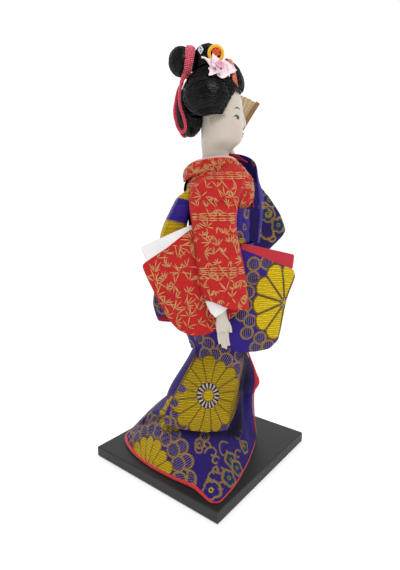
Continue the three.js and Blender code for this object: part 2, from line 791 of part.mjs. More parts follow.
// Below the temples the side hair is swept back along this slanted edge
function templeCut() {
  const edge = new THREE.Shape();
  edge.moveTo(-40, 20);
  edge.lineTo(hairline.lowY, 20);
  edge.lineTo(hairline.lowY, hair.lowCut - 2);
  edge.lineTo(hairline.highY, hairline.highZ);
  edge.lineTo(-40, hairline.highZ);
  edge.closePath();
  const prism = new THREE.ExtrudeGeometry(edge, { depth: 80, bevelEnabled: false });
  prism.rotateX(Math.PI / 2);
  prism.rotateZ(Math.PI / 2);
  prism.translate(-40, 0, 0);
  return bare(prism);
}

function tieShape(grow = 0) {
  const round = 1.4;
  const half = tie.wide / 2 + grow;
  const outer = tie.outer + grow;
  const inner = tie.inner - grow;
  const profile = [
    [inner, -half],
    [outer - round, -half],
    [outer, -half + round],
    [outer, half - round],
    [outer - round, half],
    [inner, half],
    [inner, -half],
  ].map(([r, y]) => new THREE.Vector2(r, y));
  const ring = new THREE.LatheGeometry(profile, 16);
  ring.rotateX(tie.lean);
  ring.translate(0, tie.y, mound.z);
  return bare(ring);
}

// Hair cord: a loop that leaves the tie, hangs behind the side hair and goes back to the tie
const cordRoute = [
  [-3.4, 26, 62.2],
  [-6.6, 27.4, 59.2],
  [-10.4, 28.1, 55.4],
  [-14, 29.1, 50.8],
  [-16.2, 29.6, 45.2],
  [-17, 28.9, 39.4],
  [-17, 27.3, 34.4],
  [-16.6, 26, 29.8],
  [-15.8, 25.8, 26.4],
  [-14.4, 27, 24.5],
  [-12.8, 29, 25.2],
  [-11.8, 30.9, 28.2],
  [-11.2, 32, 33],
  [-10.8, 32.4, 38.4],
  [-10.4, 31.8, 44.2],
  [-9.2, 30.6, 50],
  [-7, 29, 54.6],
  [-4.2, 27.2, 58],
  [-2, 26.4, 60],
];
const farLoop = { forward: 3, fromZ: 44, over: 14 }; // the left loop hangs a little further forward
const cordForward = (side, z) =>
  side > 0 ? farLoop.forward * smooth(farLoop.fromZ - z, 0, farLoop.over) : 0;
const cordPoints = (side) => cordRoute.map(([x, y, z]) => point(-side * x, y - cordForward(side, z), z));
const cordShape = (side, grow = 0) =>
  tube(cordPoints(side), cord.diameter / 2, cord.steps, cord.sides, grow);

// Hair ornaments
function petalShape(index) {
  const angle = (2 * Math.PI * index) / petal.count + 0.3;
  const half = petal.wide / 2;
  const leaf = new THREE.Shape();
  leaf.moveTo(0.6, -1.1);
  const [near, far] = [petal.long * 0.3, petal.long * 0.75];
  leaf.bezierCurveTo(near, -half * 1.2, far, -half * 1.1, petal.long, 0);
  leaf.bezierCurveTo(far, half * 1.1, near, half * 1.2, 0.6, 1.1);
  leaf.closePath();
  const plate = { depth: petal.thick, bevelEnabled: false, curveSegments: 4 };
  const blade = new THREE.ExtrudeGeometry(leaf, plate);
  blade.rotateY(-0.32);
  blade.rotateZ(angle);
  return bare(blade);
}

function flowerShape() {
  const petals = [];
  for (let k = 0; k < petal.count; k += 1) petals.push(petalShape(k));
  const hub = new THREE.CylinderGeometry(2.6, 2.6, 2, 14);
  hub.rotateX(Math.PI / 2);
  hub.translate(0, 0, 0.4);
  return join(bare(hub), ...petals);
}

function placeFlower(geometry) {
  geometry.rotateY(flower.tilt - Math.PI / 2);
  geometry.rotateZ(0.22);
  geometry.translate(flower.x, flower.y, flower.z);
  return geometry;
}

function ringShape(radius, thickness, x, y, z, turnZ) {
  const ring = new THREE.TorusGeometry(radius, thickness, 6, 20);
  ring.rotateY(Math.PI / 2);
  ring.rotateZ(turnZ);
  ring.translate(x, y, z);
  return bare(ring);
}

// Fan: a pleated sector between two guard sticks, turning on a rivet
const fanTurn = (share) => ((fan.firstEdge + fan.opening * share) * Math.PI) / 180;

function fanPoint(angle, radius, x) {
  const [across, up] = [radius * Math.sin(angle), radius * Math.cos(angle)];
  return point(fanPivot.x + x, fanPivot.y + across, fanPivot.z + up);
}

function fanLeaf() {
  const folds = fan.pleats * 2;
  const inner = [];
  const outer = [];
  const radii = [fan.leafFrom, fan.length];
  for (let k = 0; k <= folds; k += 1) {
    const angle = fanTurn(mix(0.035, 0.965, k / folds));
    const side = k % 2 === 0 ? 1 : -1;
    const front = radii.map((r) => fanPoint(angle, r, (side * fan.depth * r) / fan.length / 2));
    inner.push(front);
    outer.push(front.map((p) => point(p.x + fan.paper, p.y, p.z)));
  }
  const rows = radii.length;
  const rings = inner.map((front, k) => [...front, ...outer[k].slice().reverse()]);
  const points = rings.flat();
  const around = rows * 2;
  const faces = [];
  for (let k = 0; k < folds; k += 1) {
    for (let j = 0; j < around; j += 1) {
      const a = k * around + j;
      const b = k * around + ((j + 1) % around);
      faces.push([a, b, b + around], [a, b + around, a + around]);
    }
  }
  const capFaces = (offset, flip) => {
    for (let j = 0; j < rows - 1; j += 1) {
      const a = offset + j;
      const b = offset + j + 1;
      const c = offset + around - 2 - j;
      const d = offset + around - 1 - j;
      if (flip) faces.push([a, c, b], [a, d, c]);
      else faces.push([a, b, c], [a, c, d]);
    }
  };
  capFaces(0, true);
  capFaces(folds * around, false);
  const leaf = fromLists(points, faces);
  return solidOf(leaf).volume() < 0 ? fromLists(points, faces.map(([a, b, c]) => [a, c, b])) : leaf;
}

function fanStick(share, x, radiusOut, farWide = guard.wide, grow = 0) {
  const angle = fanTurn(share);
  const near = -guard.rivet - 1.5 - grow;
  const shape = new THREE.Shape();
  shape.moveTo(near, -guard.nearWide / 2 - grow);
  shape.lineTo(radiusOut + grow, -farWide / 2 - grow);
  shape.lineTo(radiusOut + grow, farWide / 2 + grow);
  shape.lineTo(near, guard.nearWide / 2 + grow);
  shape.closePath();
  const stick = new THREE.ExtrudeGeometry(shape, { depth: guard.thick + 2 * grow, bevelEnabled: false });
  stick.rotateY(-Math.PI / 2);
  stick.rotateX(-angle);
  stick.translate(fanPivot.x + x + guard.thick + grow, fanPivot.y, fanPivot.z);
  return bare(stick);
}

function rivetShape(grow) {
  const reach = 3.2 + grow;
  const pin = new THREE.CylinderGeometry(guard.rivet + grow, guard.rivet + grow, 2 * reach, 12);
  pin.rotateZ(Math.PI / 2);
  pin.translate(fanPivot.x, fanPivot.y, fanPivot.z);
  return bare(pin);
}

// Hands: a flat palm that narrows to the wrist, four fingers and a thumb, hanging from the wrist's middle
const fingerLengths = [11.5, 13.6, 12.6, 9.6];

function handShape(side, thumbRoute) {
  const palm = loft(
    [
      [-13.5, 2.5, 4.4],
      [-8, 2.3, 4.6],
      [-2, 2, 3.5],
      [3, 2.2, 3],
      [8, 2.4, 3],
    ].map(([z, halfX, halfY]) => oval(0, 0, z, halfX, halfY, 12)),
  );
  const fingers = fingerLengths.map((long, k) => {
    const y = -3.1 + k * 2.05;
    const tip = point(0.8 * side, y * 1.02 - 0.5, -12.5 - long);
    return tube([point(0, y, -11), point(0.2 * side, y, -12.5 - long / 2), tip], 1, 3, 6);
  });
  const thumb = tube(thumbRoute, 1.1, 3, 6);
  return join(palm, ...fingers, thumb);
}

// A silver lozenge on a needle that goes into the topknot
function lozenge(grow, share) {
  const outline = new THREE.Shape();
  outline.moveTo(pin.halfWide * share + grow, 0);
  outline.lineTo(0, pin.halfTall * share + grow);
  outline.lineTo(-pin.halfWide * share - grow, 0);
  outline.lineTo(0, -pin.halfTall * share - grow);
  outline.closePath();
  const depth = share < 1 ? 4 : pin.bar + 2 * grow;
  const plate = new THREE.ExtrudeGeometry(outline, { depth, bevelEnabled: false });
  plate.translate(0, 0, -depth / 2);
  return bare(plate);
}

function needleShape(grow) {
  const long = pin.needle + grow;
  const needle = new THREE.CylinderGeometry(0.45 + grow, 0.45 + grow, long, 8);
  needle.rotateX(Math.PI / 2);
  needle.translate(0, 0, -long / 2);
  return bare(needle);
}

function placePin(geometry) {
  geometry.rotateY(-Math.PI / 2);
  geometry.rotateZ(-0.42);
  geometry.translate(-mound.width * 0.84 - pin.bar, pin.y, pin.z);
  return geometry;
}

function needleBar() {
  const bar = new THREE.BoxGeometry(1, 2 * pin.halfTall * 0.8, pin.bar);
  return bare(bar);
}

// Wires run from the padded shoulders down the sleeves into the hands
const rightWrist = point(-42.6, -9.6, height.hip - 23);
const leftWrist = point(41.8, -34, height.neckSeat + 9.6);
const wireRoutes = {
  right: [
    point(-15, -14, height.shoulder - 1),
    point(-24, -12, height.shoulder - 1),
    point(-33, -8, height.obiHigh + 4),
    point(-38, -8, height.obiHigh - 20),
    point(-42, -9, height.hip + 4),
    point(rightWrist.x, rightWrist.y, rightWrist.z + 3),
  ],
  left: [
    point(15, -14, height.shoulder - 1),
    point(24, -16, height.shoulder - 1),
    point(34, -26, height.obiHigh + 10),
    point(39, -43, height.obiHigh + 6),
    point(40, -45, height.obiHigh + 14),
    point(40.4, -40, height.neckSeat),
    point(leftWrist.x, leftWrist.y + 1.6, leftWrist.z + 3.4),
  ],
};
const wireShape = (route, grow) => tube(route, 1, 10, 6, grow);
const wireHoles = () => Object.values(wireRoutes).map((route) => wireShape(route, seatGap));

// Build the scene, from the board up
add(root, "base_board", makeBoard(), finish.lacquer);
add(figure, "stand_rod", rodShape(0), finish.timber);
add(figure, "body_core", makeBody(), finish.padding);

const train = largest(
  cut(
    trainShape(0),
    rodShape(seatGap),
    bodyShape(seatGap),
    hemTube(seatGap),
    frontEdgeShape(seatGap),
    overShape(seatGap),
  ),
);
add(figure, "train", train, finish.purple);
add(figure, "train_hem_roll", cut(hemTube(0), frontEdgeShape(seatGap)), finish.crimson);
add(figure, "front_edge_lining", frontEdgeShape(0), finish.crimson);
add(figure, "outer_skirt", overShape(0), finish.purple);

const neckCut = neckHole();
const undergarment = cut(layer(seatGap, underLayer, height.obiHigh - 4, height.neckSeat + 1), neckCut);
const leftOnly = halfSpace(point(1, 0.25, 0), -1);
const purpleBodice = common(
  cut(layer(underLayer + seatGap, kimonoLayer, height.obiHigh - 4, height.neckSeat + 2), neckCut),
  leftOnly,
);
const obi = layer(kimonoLayer + seatGap, obiLayer, height.obiLow, height.obiHigh);

const collarTools = [collars.inner(seatGap), collars.red(seatGap)];
const bandTools = [bandShape(seatGap), liningShape(seatGap)];
const redBodice = cut(undergarment, ...collarTools, bandShape(seatGap), ...wireHoles());
add(figure, "red_bodice", largest(redBodice), finish.red);
const innerCollar = cut(collars.inner(0), neckColumn(), bodyShape(seatGap), ...bandTools);
add(figure, "inner_collar", largest(innerCollar), finish.pink);
const redCollar = cut(collars.red(0), bodyShape(seatGap), collars.inner(seatGap), ...bandTools);
add(figure, "red_collar", largest(redCollar), finish.red);
const kimonoBodice = cut(purpleBodice, ...collarTools, ...bandTools, ...wireHoles());
add(figure, "kimono_bodice", largest(kimonoBodice), finish.purple);
add(figure, "collar_band", bandShape(0), finish.purple);
const collarLining = cut(liningShape(0), bandShape(seatGap), bodyShape(seatGap));
add(figure, "collar_lining", largest(collarLining), finish.crimson);
add(figure, "obi_wrap", largest(cut(obi, bandShape(seatGap))), finish.purple);

const bowOutline = [
  [8.6, height.obiHigh + 14.4],
  [16, height.obiHigh + 9.4],
  [22, height.obiHigh - 1.6],
  [26, height.obiHigh - 9],
  [29.6, height.obiHigh - 19],
  [30, height.obiHigh - 27],
  [24, height.obiHigh - 31],
  [15.2, height.obiHigh - 27],
  [11.6, height.obiHigh - 12],
  [8.2, height.obiHigh + 4],
];
const bowShape = (grow) => pouch(bowOutline, () => 0, obiBow.halfWide * 2, grow, 24);
const obiTool = bodyShape(obiLayer + seatGap, height.obiLow - seatGap, height.obiHigh + seatGap);
const kimonoTool = bodyShape(kimonoLayer + seatGap);
add(figure, "obi_bow", largest(cut(bowShape(0), obiTool, kimonoTool, overShape(seatGap))), finish.gold);

const rightTube = loft(armRings(rightArm, 0, 18));
const rightHollow = loft(
  armRings(rightArm, -sleeve.wall, 18).map((ring, i) =>
    i === 0 ? ring.map((p) => point(p.x, p.y, p.z - 3)) : ring,
  ),
);
const rightBag = pouch(rightBagOutline, rightBagAt, bag.thick);
const rightLining = (grow) => pouch(rightLiningOutline, rightBagAt, cloth.lining, grow, 20);
const rightSleeve = largest(
  cut(
    join(rightTube, rightBag),
    rightHollow,
    rightLining(seatGap),
    kimonoTool,
    obiTool,
    collars.red(seatGap),
    bowShape(seatGap),
    overShape(seatGap),
  ),
);
add(figure, "right_sleeve", rightSleeve, finish.red);
const rightLiningCut = cut(rightLining(0), rightHollow, bowShape(seatGap));
add(figure, "right_sleeve_lining", largest(rightLiningCut), finish.white);

// The white cuff inside the right sleeve, with a point below the sleeve's edge
function cuffShape() {
  const [upper, lower] = rightArm.slice(-2);
  const ringAt = ([z, x, y, halfX, halfY], shrink, pointed) =>
    oval(x, y, z, halfX - shrink, halfY - shrink, 20, 2.3).map((p) => {
      const along = Math.max(0, 1 - Math.abs(p.y - cuff.pointY) / cuff.pointHalf);
      const drop = pointed ? cuff.point * along * smooth(x - p.x, 0, halfX * 0.5) - 0.5 : 0;
      return point(p.x, p.y, p.z - drop + (pointed ? (p.y - y) * cuffTilt : 0));
    });
  const outside = sleeve.wall + 1.5 * seatGap;
  const inside = outside + cloth.lining;
  return wall(
    [ringAt(lower, outside, true), ringAt(upper, outside, false)],
    [ringAt(lower, inside, true), ringAt(upper, inside, false)],
  );
}

add(figure, "right_cuff_lining", cuffShape(), finish.white);

const slippedLining = (grow) => pouch(slippedLiningOutline, slippedAt, cloth.lining, grow, 20);
const slippedSleeve = largest(
  cut(
    pouch(slippedOutline, slippedAt, bag.thick, 0, 36),
    slippedLining(seatGap),
    overShape(seatGap),
    obiTool,
    kimonoTool,
    loft(armRings(rightArm, seatGap, 18)),
    pouch(rightBagOutline, rightBagAt, bag.thick, seatGap),
    bandShape(seatGap),
  ),
);
add(figure, "slipped_sleeve", slippedSleeve, finish.purple);
const slippedLiningCut = cut(slippedLining(0), overShape(seatGap), obiTool, kimonoTool, bandShape(seatGap));
add(figure, "slipped_sleeve_lining", largest(slippedLiningCut), finish.crimson);

// The left sleeve: a full shoulder that runs into the hanging bag, open at the wrist
const leftShoulderRows = [
  // middle in x, middle in y and height above the shoulder, half depth, half height
  [20, -13, -2, 14, 9],
  [27, -17, -3, 18, 12],
  [33, -23, -6, 20, 14],
  [39, -27, -9, 18, 15],
  [42, -28, -11, 12, 12],
];
const leftShoulder = loft(
  leftShoulderRows.map(([x, y, z, halfY, halfZ]) =>
    oval(0, 0, 0, halfY, halfZ, 16).map((p) => point(x, y + p.x, height.shoulder + z + p.y)),
  ),
);
const cuffEnds = [
  point(leftWrist.x - 1, leftWrist.y - 6, leftWrist.z - 13),
  point(leftWrist.x - 1, leftWrist.y + 4, leftWrist.z + 8),
];
const leftCuffHollow = tube(cuffEnds, cuff.hollow, 1, 12);
const leftLining = (grow) => pouch(leftLiningOutline, leftSleeveAt, cloth.lining, grow, 18);
const leftSleeve = largest(
  cut(
    join(pouch(leftSleeveOutline, leftSleeveAt, 13), leftShoulder),
    leftLining(seatGap),
    leftCuffHollow,
    kimonoTool,
    obiTool,
    bandShape(seatGap),
    liningShape(seatGap),
    collars.red(seatGap),
    collars.inner(seatGap),
    ...wireHoles(),
  ),
);
add(figure, "left_sleeve", leftSleeve, finish.purple);
const leftLiningCut = cut(leftLining(0), leftCuffHollow, ...wireHoles());
add(figure, "left_sleeve_lining", largest(leftLiningCut), finish.crimson);
add(figure, "right_arm_wire", wireShape(wireRoutes.right, 0), finish.wire);
add(figure, "left_arm_wire", wireShape(wireRoutes.left, 0), finish.wire);

const rightHand = handShape(-1, [point(-0.4, -2.8, -5.5), point(-1.2, -4.9, -9.5), point(-1.4, -5.2, -14.5)]);
rightHand.rotateX(-0.05);
rightHand.translate(rightWrist.x, rightWrist.y, rightWrist.z);
add(figure, "right_hand", cut(rightHand, ...wireHoles()), finish.skin);

const leftThumb = [point(0.4, -2.8, -5.5), point(-4.6, -5.8, -8.8), point(-8.6, -4.6, -13)];
const leftHand = handShape(1, leftThumb);
leftHand.rotateX(Math.PI - 0.49);
leftHand.translate(leftWrist.x, leftWrist.y, leftWrist.z);
const stickShares = [0.02, 0.5, 0.98];
const fanSticks = (grow) => [
  fanStick(stickShares[0], -fan.depth / 2 - seatGap - guard.thick, fan.length + 0.6, guard.wide, grow),
  fanStick(stickShares[1], -guard.thick / 2, fan.leafFrom - seatGap, 2.6, grow),
  fanStick(stickShares[2], fan.depth / 2 + fan.paper + seatGap, fan.length + 0.6, guard.wide, grow),
];
const sticks = fanSticks(0);
add(
  figure,
  "left_hand",
  largest(cut(leftHand, ...fanSticks(seatGap), rivetShape(seatGap), ...wireHoles())),
  finish.skin,
);
const hole = rivetShape(seatGap);
add(figure, "fan_front_guard", cut(sticks[0], hole), finish.fanWood);
add(figure, "fan_inner_stick", cut(sticks[1], hole), finish.fanWood);
add(figure, "fan_rear_guard", cut(sticks[2], hole), finish.fanWood);
add(figure, "fan_rivet", rivetShape(0), finish.silver);
add(figure, "fan_leaf", fanLeaf(), finish.fanPaper);

// Head and hair, in the head's own frame
add(head, "head", headShape(), finish.skin);
const lowerHair = halfSpace(point(0, 0, -1), -hair.lowCut);
const capped = cut(hairCap(0), headShape(seatGap), faceWindow(), templeCut(), lowerHair);
add(head, "hair_front", largest(capped), finish.hair);
const sides = { right: -1, left: 1 };
Object.entries(sides).forEach(([name, side]) => {
  const shaped = cut(hairLobe(side, 0), hairCap(seatGap), headShape(seatGap), faceWindow());
  add(head, `${name}_side_hair`, largest(shaped), finish.hair);
});
const lobes = [hairLobe(-1, seatGap), hairLobe(1, seatGap)];
const capTool = common(hairCap(seatGap), halfSpace(point(0, 0, 1), hair.lowCut - seatGap));
const backHairCut = cut(tabo(0), capTool, headShape(seatGap), ...lobes);
add(head, "back_hair", largest(backHairCut), finish.hair);
const topknot = cut(topknotShape(0), hairCap(seatGap), placePin(needleShape(seatGap)));
add(head, "topknot", largest(topknot), finish.hair);
const lozengeFrame = join(cut(lozenge(0, 1), lozenge(0, 0.56)), needleBar(), needleShape(0));
add(head, "silver_pin", largest(placePin(lozengeFrame)), finish.silver);
add(head, "hair_tie", largest(cut(tieShape(), topknotShape(seatGap), hairCap(seatGap))), finish.rose);
Object.entries(sides).forEach(([name, side]) => {
  add(head, `hair_cord_${name}`, cordShape(side), finish.rose);
});

// Ornaments on the hair
function ribbonShape(grow) {
  const lift = seatGap + ribbon.thick / 2;
  const normalAt = (p) =>
    point(
      p.x / pompadour.width ** 2,
      (p.y - pompadour.y) / pompadour.depth ** 2,
      (p.z - pompadour.z) / pompadour.tall ** 2,
    ).normalize();
  const route = [];
  for (let k = -5; k <= 5; k += 1) {
    const share = k / 5;
    const turn = ribbon.halfTurn * share;
    const y = mix(-5.4, -10.4, share * share);
    const size = Math.sqrt(1 - ((y - pompadour.y) / pompadour.depth) ** 2);
    const [x, z] = [-pompadour.width * size * Math.sin(turn), pompadour.tall * size * Math.cos(turn)];
    const onHair = point(x, y, pompadour.z + z);
    route.push(onHair.addScaledVector(normalAt(onHair), lift));
  }
  return strip(route, normalAt, () => ribbon.wide + 2 * grow, ribbon.thick + 2 * grow, 20);
}

const inHair = [hairCap(seatGap), topknotShape(seatGap), ...lobes];
add(head, "front_ribbon", largest(cut(ribbonShape(0), ...inHair)), finish.coral);

const ringAt = (grow) => ringShape(hoop.radius, hoop.wire + grow, hoop.x, hoop.y, hoop.z, 0);
const petals = placeFlower(flowerShape());
const trumpet = new THREE.LatheGeometry(
  [
    [0, 1.9],
    [1.2, 1.9],
    [1.6, 4],
    [flower.throat, 2 + flower.deep],
    [flower.throat - 0.7, 2 + flower.deep],
    [1, 4.4],
    [0, 4],
  ].map(([r, y]) => new THREE.Vector2(r, y)),
  14,
);
trumpet.rotateX(Math.PI / 2);
const trumpetPlaced = placeFlower(bare(trumpet));
const petalTools = [...inHair, ribbonShape(seatGap), ringAt(seatGap)];
add(head, "flower_petals", largest(cut(petals, ...petalTools)), finish.pink);
add(head, "flower_throat", trumpetPlaced, finish.pink);

add(head, "ring_ornament", ringAt(0), finish.gold);
const foilOutline = new THREE.Shape();
for (let k = 0; k < 12; k += 1) {
  const reach = k % 2 === 0 ? hoop.radius - hoop.wire - seatGap : hoop.radius * 0.45;
  const angle = (Math.PI * k) / 6;
  if (k === 0) foilOutline.moveTo(reach, 0);
  else foilOutline.lineTo(reach * Math.cos(angle), reach * Math.sin(angle));
}
foilOutline.closePath();
const foil = new THREE.ExtrudeGeometry(foilOutline, { depth: 1, bevelEnabled: false });
foil.rotateY(-Math.PI / 2);
foil.translate(hoop.x + 0.5, hoop.y, hoop.z);
add(head, "ring_foil", bare(foil), finish.coral);

export default root;
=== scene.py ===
import math

import bmesh
import bpy
import numpy as np
from mathutils import Matrix, Vector
from mathutils.bvhtree import BVHTree


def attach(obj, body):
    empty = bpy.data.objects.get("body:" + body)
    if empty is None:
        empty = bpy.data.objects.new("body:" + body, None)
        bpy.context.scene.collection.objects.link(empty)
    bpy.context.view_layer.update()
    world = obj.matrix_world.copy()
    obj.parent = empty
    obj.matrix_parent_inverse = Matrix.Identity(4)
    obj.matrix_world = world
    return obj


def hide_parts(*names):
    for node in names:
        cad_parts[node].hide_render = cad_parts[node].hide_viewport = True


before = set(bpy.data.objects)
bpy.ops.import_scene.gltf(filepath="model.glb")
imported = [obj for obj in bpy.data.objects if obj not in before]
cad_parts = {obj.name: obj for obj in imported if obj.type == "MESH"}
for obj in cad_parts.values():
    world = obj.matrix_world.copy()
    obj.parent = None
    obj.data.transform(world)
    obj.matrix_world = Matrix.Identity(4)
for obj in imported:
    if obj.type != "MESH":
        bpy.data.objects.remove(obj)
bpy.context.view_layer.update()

# Sizes are in millimetres above the board, as the pattern cutter has them, and pieces are made in metres
MM = 0.001
BOARD_TOP = 8.6
BODY_Y = -15.0
KNEE, HIP, OBI_LOW, OBI_HIGH, SHOULDER, NECK = 78.0, 141.0, 162.0, 186.0, 204.0, 214.0
FIGURE = np.array([0.0, 0.0, BOARD_TOP])
HEAD = np.array([0.0, BODY_Y, BOARD_TOP + NECK])
TAU = 2 * math.pi
rng = np.random.default_rng(7)  # one seed, so that the leaves and strands fall the same each time


# Camera at the photograph's place, and the plain studio round it
EYE = Vector((-0.30797, 0.03236, 0.19407))
LOOK = Vector((0.97861, -0.10123, -0.17908))
ACROSS = Vector((-0.10507, -0.99439, -0.01204))
ABOVE = Vector((0.17686, -0.03059, 0.98376))
LENS_MM, SENSOR_MM = 25.85, 36.0
PHOTO_WIDE, PHOTO_TALL = 400, 570


def make_camera():
    data = bpy.data.cameras.new("camera")
    data.lens = LENS_MM
    data.sensor_width = SENSOR_MM
    data.clip_start = 0.01
    camera = bpy.data.objects.new("camera", data)
    turn = Matrix((ACROSS, ABOVE, -LOOK)).transposed().to_4x4()
    camera.matrix_world = Matrix.Translation(EYE) @ turn
    bpy.context.scene.collection.objects.link(camera)
    bpy.context.scene.camera = camera


make_camera()


# Numbers and curves
def smooth(value, low, high):
    t = np.clip((np.asarray(value, float) - low) / (high - low), 0, 1)
    return t * t * (3 - 2 * t)


def fade(value, low, high):
    """1 up to the low place, and 0 from the high one."""
    return 1 - smooth(value, low, high)


def bell(value, middle, wide):
    """1 at the middle, and less on both sides of it."""
    return np.exp(-(((value - middle) / wide) ** 2))


def mix(a, b, t):
    return a + (b - a) * t


def through(keys, values, at, pull=1.0):
    """A smooth curve through rows of values at rising keys; with less pull it runs straighter."""
    keys, values = np.asarray(keys, float), np.asarray(values, float)
    at = np.clip(np.asarray(at, float), keys[0], keys[-1])
    slope = np.gradient(values, keys, axis=0) * pull
    i = np.clip(np.searchsorted(keys, at) - 1, 0, len(keys) - 2)
    step = keys[i + 1] - keys[i]
    t = (at - keys[i]) / step
    if values.ndim > 1:
        step, t = step[..., None], t[..., None]
    a, b = values[i], values[i + 1]
    return (
        (2 * t**3 - 3 * t**2 + 1) * a
        + (t**3 - 2 * t**2 + t) * step * slope[i]
        + (3 * t**2 - 2 * t**3) * b
        + (t**3 - t**2) * step * slope[i + 1]
    )


def along(points, count, closed=False, pull=1.0):
    """Evenly spaced points on a smooth line through the given ones."""
    points = np.asarray(points, float)
    if closed:
        points = np.concatenate([points[-3:], points, points[:4]])
    steps = np.linalg.norm(np.diff(points, axis=0), axis=1) ** 0.5
    keys = np.concatenate([[0], np.cumsum(steps)])
    low, high = (keys[3], keys[-4]) if closed else (keys[0], keys[-1])
    dense = through(keys, points, np.linspace(low, high, 40 * len(points)), pull)
    run = run_along(dense)
    wanted = np.linspace(0, run[-1], count + 1)[:-1] if closed else np.linspace(0, run[-1], count)
    return np.stack([np.interp(wanted, run, dense[:, k]) for k in range(dense.shape[1])], 1)


def run_along(points, axis=0):
    """How far each point of a line or grid lies along it."""
    run = np.cumsum(np.linalg.norm(np.diff(points, axis=axis), axis=-1), axis)
    return np.concatenate([0 * run.take([0], axis), run], axis)


def ring_angles(count):
    return np.linspace(0, TAU, count, endpoint=False)


def oval_reach(c, s, power):
    """How far a squared oval reaches along a direction."""
    return (np.abs(c) ** power + np.abs(s) ** power) ** (-1 / power)


def unit(v):
    return v / np.maximum(np.linalg.norm(v, axis=-1, keepdims=True), 1e-9)


# Meshes
def add_object(name, data):
    made = bpy.data.objects.new(name, data)
    bpy.context.scene.collection.objects.link(made)
    return made


def make_mesh(name, points, faces, origin=FIGURE):
    mesh = bpy.data.meshes.new(name)
    mesh.from_pydata(((np.asarray(points, float) + origin) * MM).tolist(), [], faces)
    mesh.shade_smooth()
    return add_object(name, mesh)


def grid_faces(rows, cols, closed=False, first=0):
    """Quads of a grid whose rows follow each other. With closed, each row's end joins its start."""
    i, j = np.meshgrid(np.arange(rows - 1), np.arange(cols if closed else cols - 1), indexing="ij")
    a = i * cols + j
    b = i * cols + (j + 1) % cols
    return (np.stack([a, b, b + cols, a + cols], -1).reshape(-1, 4) + first).tolist()


def grid_piece(name, points, closed=False, origin=FIGURE, caps=False, weave=None):
    rows, cols = points.shape[:2]
    faces = grid_faces(rows, cols, closed)
    if caps:
        faces += [list(range(cols))[::-1], list(range((rows - 1) * cols, rows * cols))]
    piece = make_mesh(name, points.reshape(-1, 3), faces, origin)
    if weave is None:
        weave = np.stack([run_along(points, 1), run_along(points, 0)], -1)
    set_weave(piece, weave.reshape(-1, 2))
    return piece


def set_weave(piece, weave):
    """Where each point lies on the cloth, in millimetres across and along the threads."""
    set_layer(piece, "weave", "FLOAT_VECTOR", "vector", np.column_stack([weave, np.zeros(len(weave))]))


def set_layer(piece, name, kind, field, values):
    """Keeps a value for each point of a piece."""
    layer = piece.data.attributes.new(name, kind, "POINT")
    layer.data.foreach_set(field, np.asarray(values, np.float32).ravel())


def read_points(piece, field):
    flat = np.zeros(len(piece.data.vertices) * 3, np.float32)
    piece.data.vertices.foreach_get(field, flat)
    return flat.reshape(-1, 3).astype(float)


def spots(piece):
    """A piece's points in millimetres above the board."""
    return read_points(piece, "co") / MM - FIGURE


def facings(piece):
    return read_points(piece, "normal")


def surface_of(piece):
    """A piece's surface, to find places on."""
    corners = [tuple(q) for q in spots(piece)]
    return BVHTree.FromPolygons(corners, [tuple(face.vertices) for face in piece.data.polygons])


def move_spots(piece, points):
    piece.data.vertices.foreach_set("co", ((points + FIGURE) * MM).astype(np.float32).ravel())
    piece.data.update()


def settle(piece):
    """Takes the piece's modifiers into its mesh."""
    graph = bpy.context.evaluated_depsgraph_get()
    graph.update()
    mesh = bpy.data.meshes.new_from_object(piece.evaluated_get(graph))
    piece.modifiers.clear()
    old = piece.data
    piece.data = mesh
    bpy.data.meshes.remove(old)
    return piece


def thicken(piece, thick):
    """Gives a sheet its thickness inwards."""
    solid = piece.modifiers.new("thickness", "SOLIDIFY")
    solid.thickness = thick * MM
    solid.offset = -1
    solid.use_rim = True
    return settle(piece)


def face_out(piece):
    shell = bmesh.new()
    shell.from_mesh(piece.data)
    bmesh.ops.recalc_face_normals(shell, faces=shell.faces)
    shell.to_mesh(piece.data)
    shell.free()
    return piece


def join_pieces(name, pieces):
    """One piece from several, with their attributes and materials kept."""
    bpy.ops.object.select_all(action="DESELECT")
    for piece in pieces:
        piece.select_set(True)
    bpy.context.view_layer.objects.active = pieces[0]
    bpy.ops.object.join()
    pieces[0].name = name
    return pieces[0]


def remade(name, node_names, voxel, rounds):
    """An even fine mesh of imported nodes, with their facets rubbed smooth."""
    shell = bmesh.new()
    for node_name in node_names:
        shell.from_mesh(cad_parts[node_name].data)
    bmesh.ops.remove_doubles(shell, verts=shell.verts, dist=1e-6)
    mesh = bpy.data.meshes.new(name)
    shell.to_mesh(mesh)
    shell.free()
    piece = add_object(name, mesh)
    remesh = piece.modifiers.new("voxels", "REMESH")
    remesh.mode = "VOXEL"
    remesh.voxel_size = voxel * MM
    rub = piece.modifiers.new("rub", "SMOOTH")
    rub.factor = 0.6
    rub.iterations = rounds
    settle(piece)
    piece.data.shade_smooth()
    return piece


def place_piece(piece, nodes, body="body", material=None):
    """Puts a finished piece in its nodes' place."""
    if material:
        piece.data.materials.clear()
        piece.data.materials.append(material)
    if nodes:
        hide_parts(*nodes.split())
    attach(piece, body)
    return piece


def as_sheet(piece, wide, long, held, rests_on=(), cut=None):
    cut = wide * long if cut is None else cut


def outline_area(outline):
    y, z = np.array(outline).T
    return 0.5 * abs(np.dot(y, np.roll(z, -1)) - np.dot(z, np.roll(y, -1)))


def outline_span(outline):
    return np.ptp(np.array(outline), axis=0)


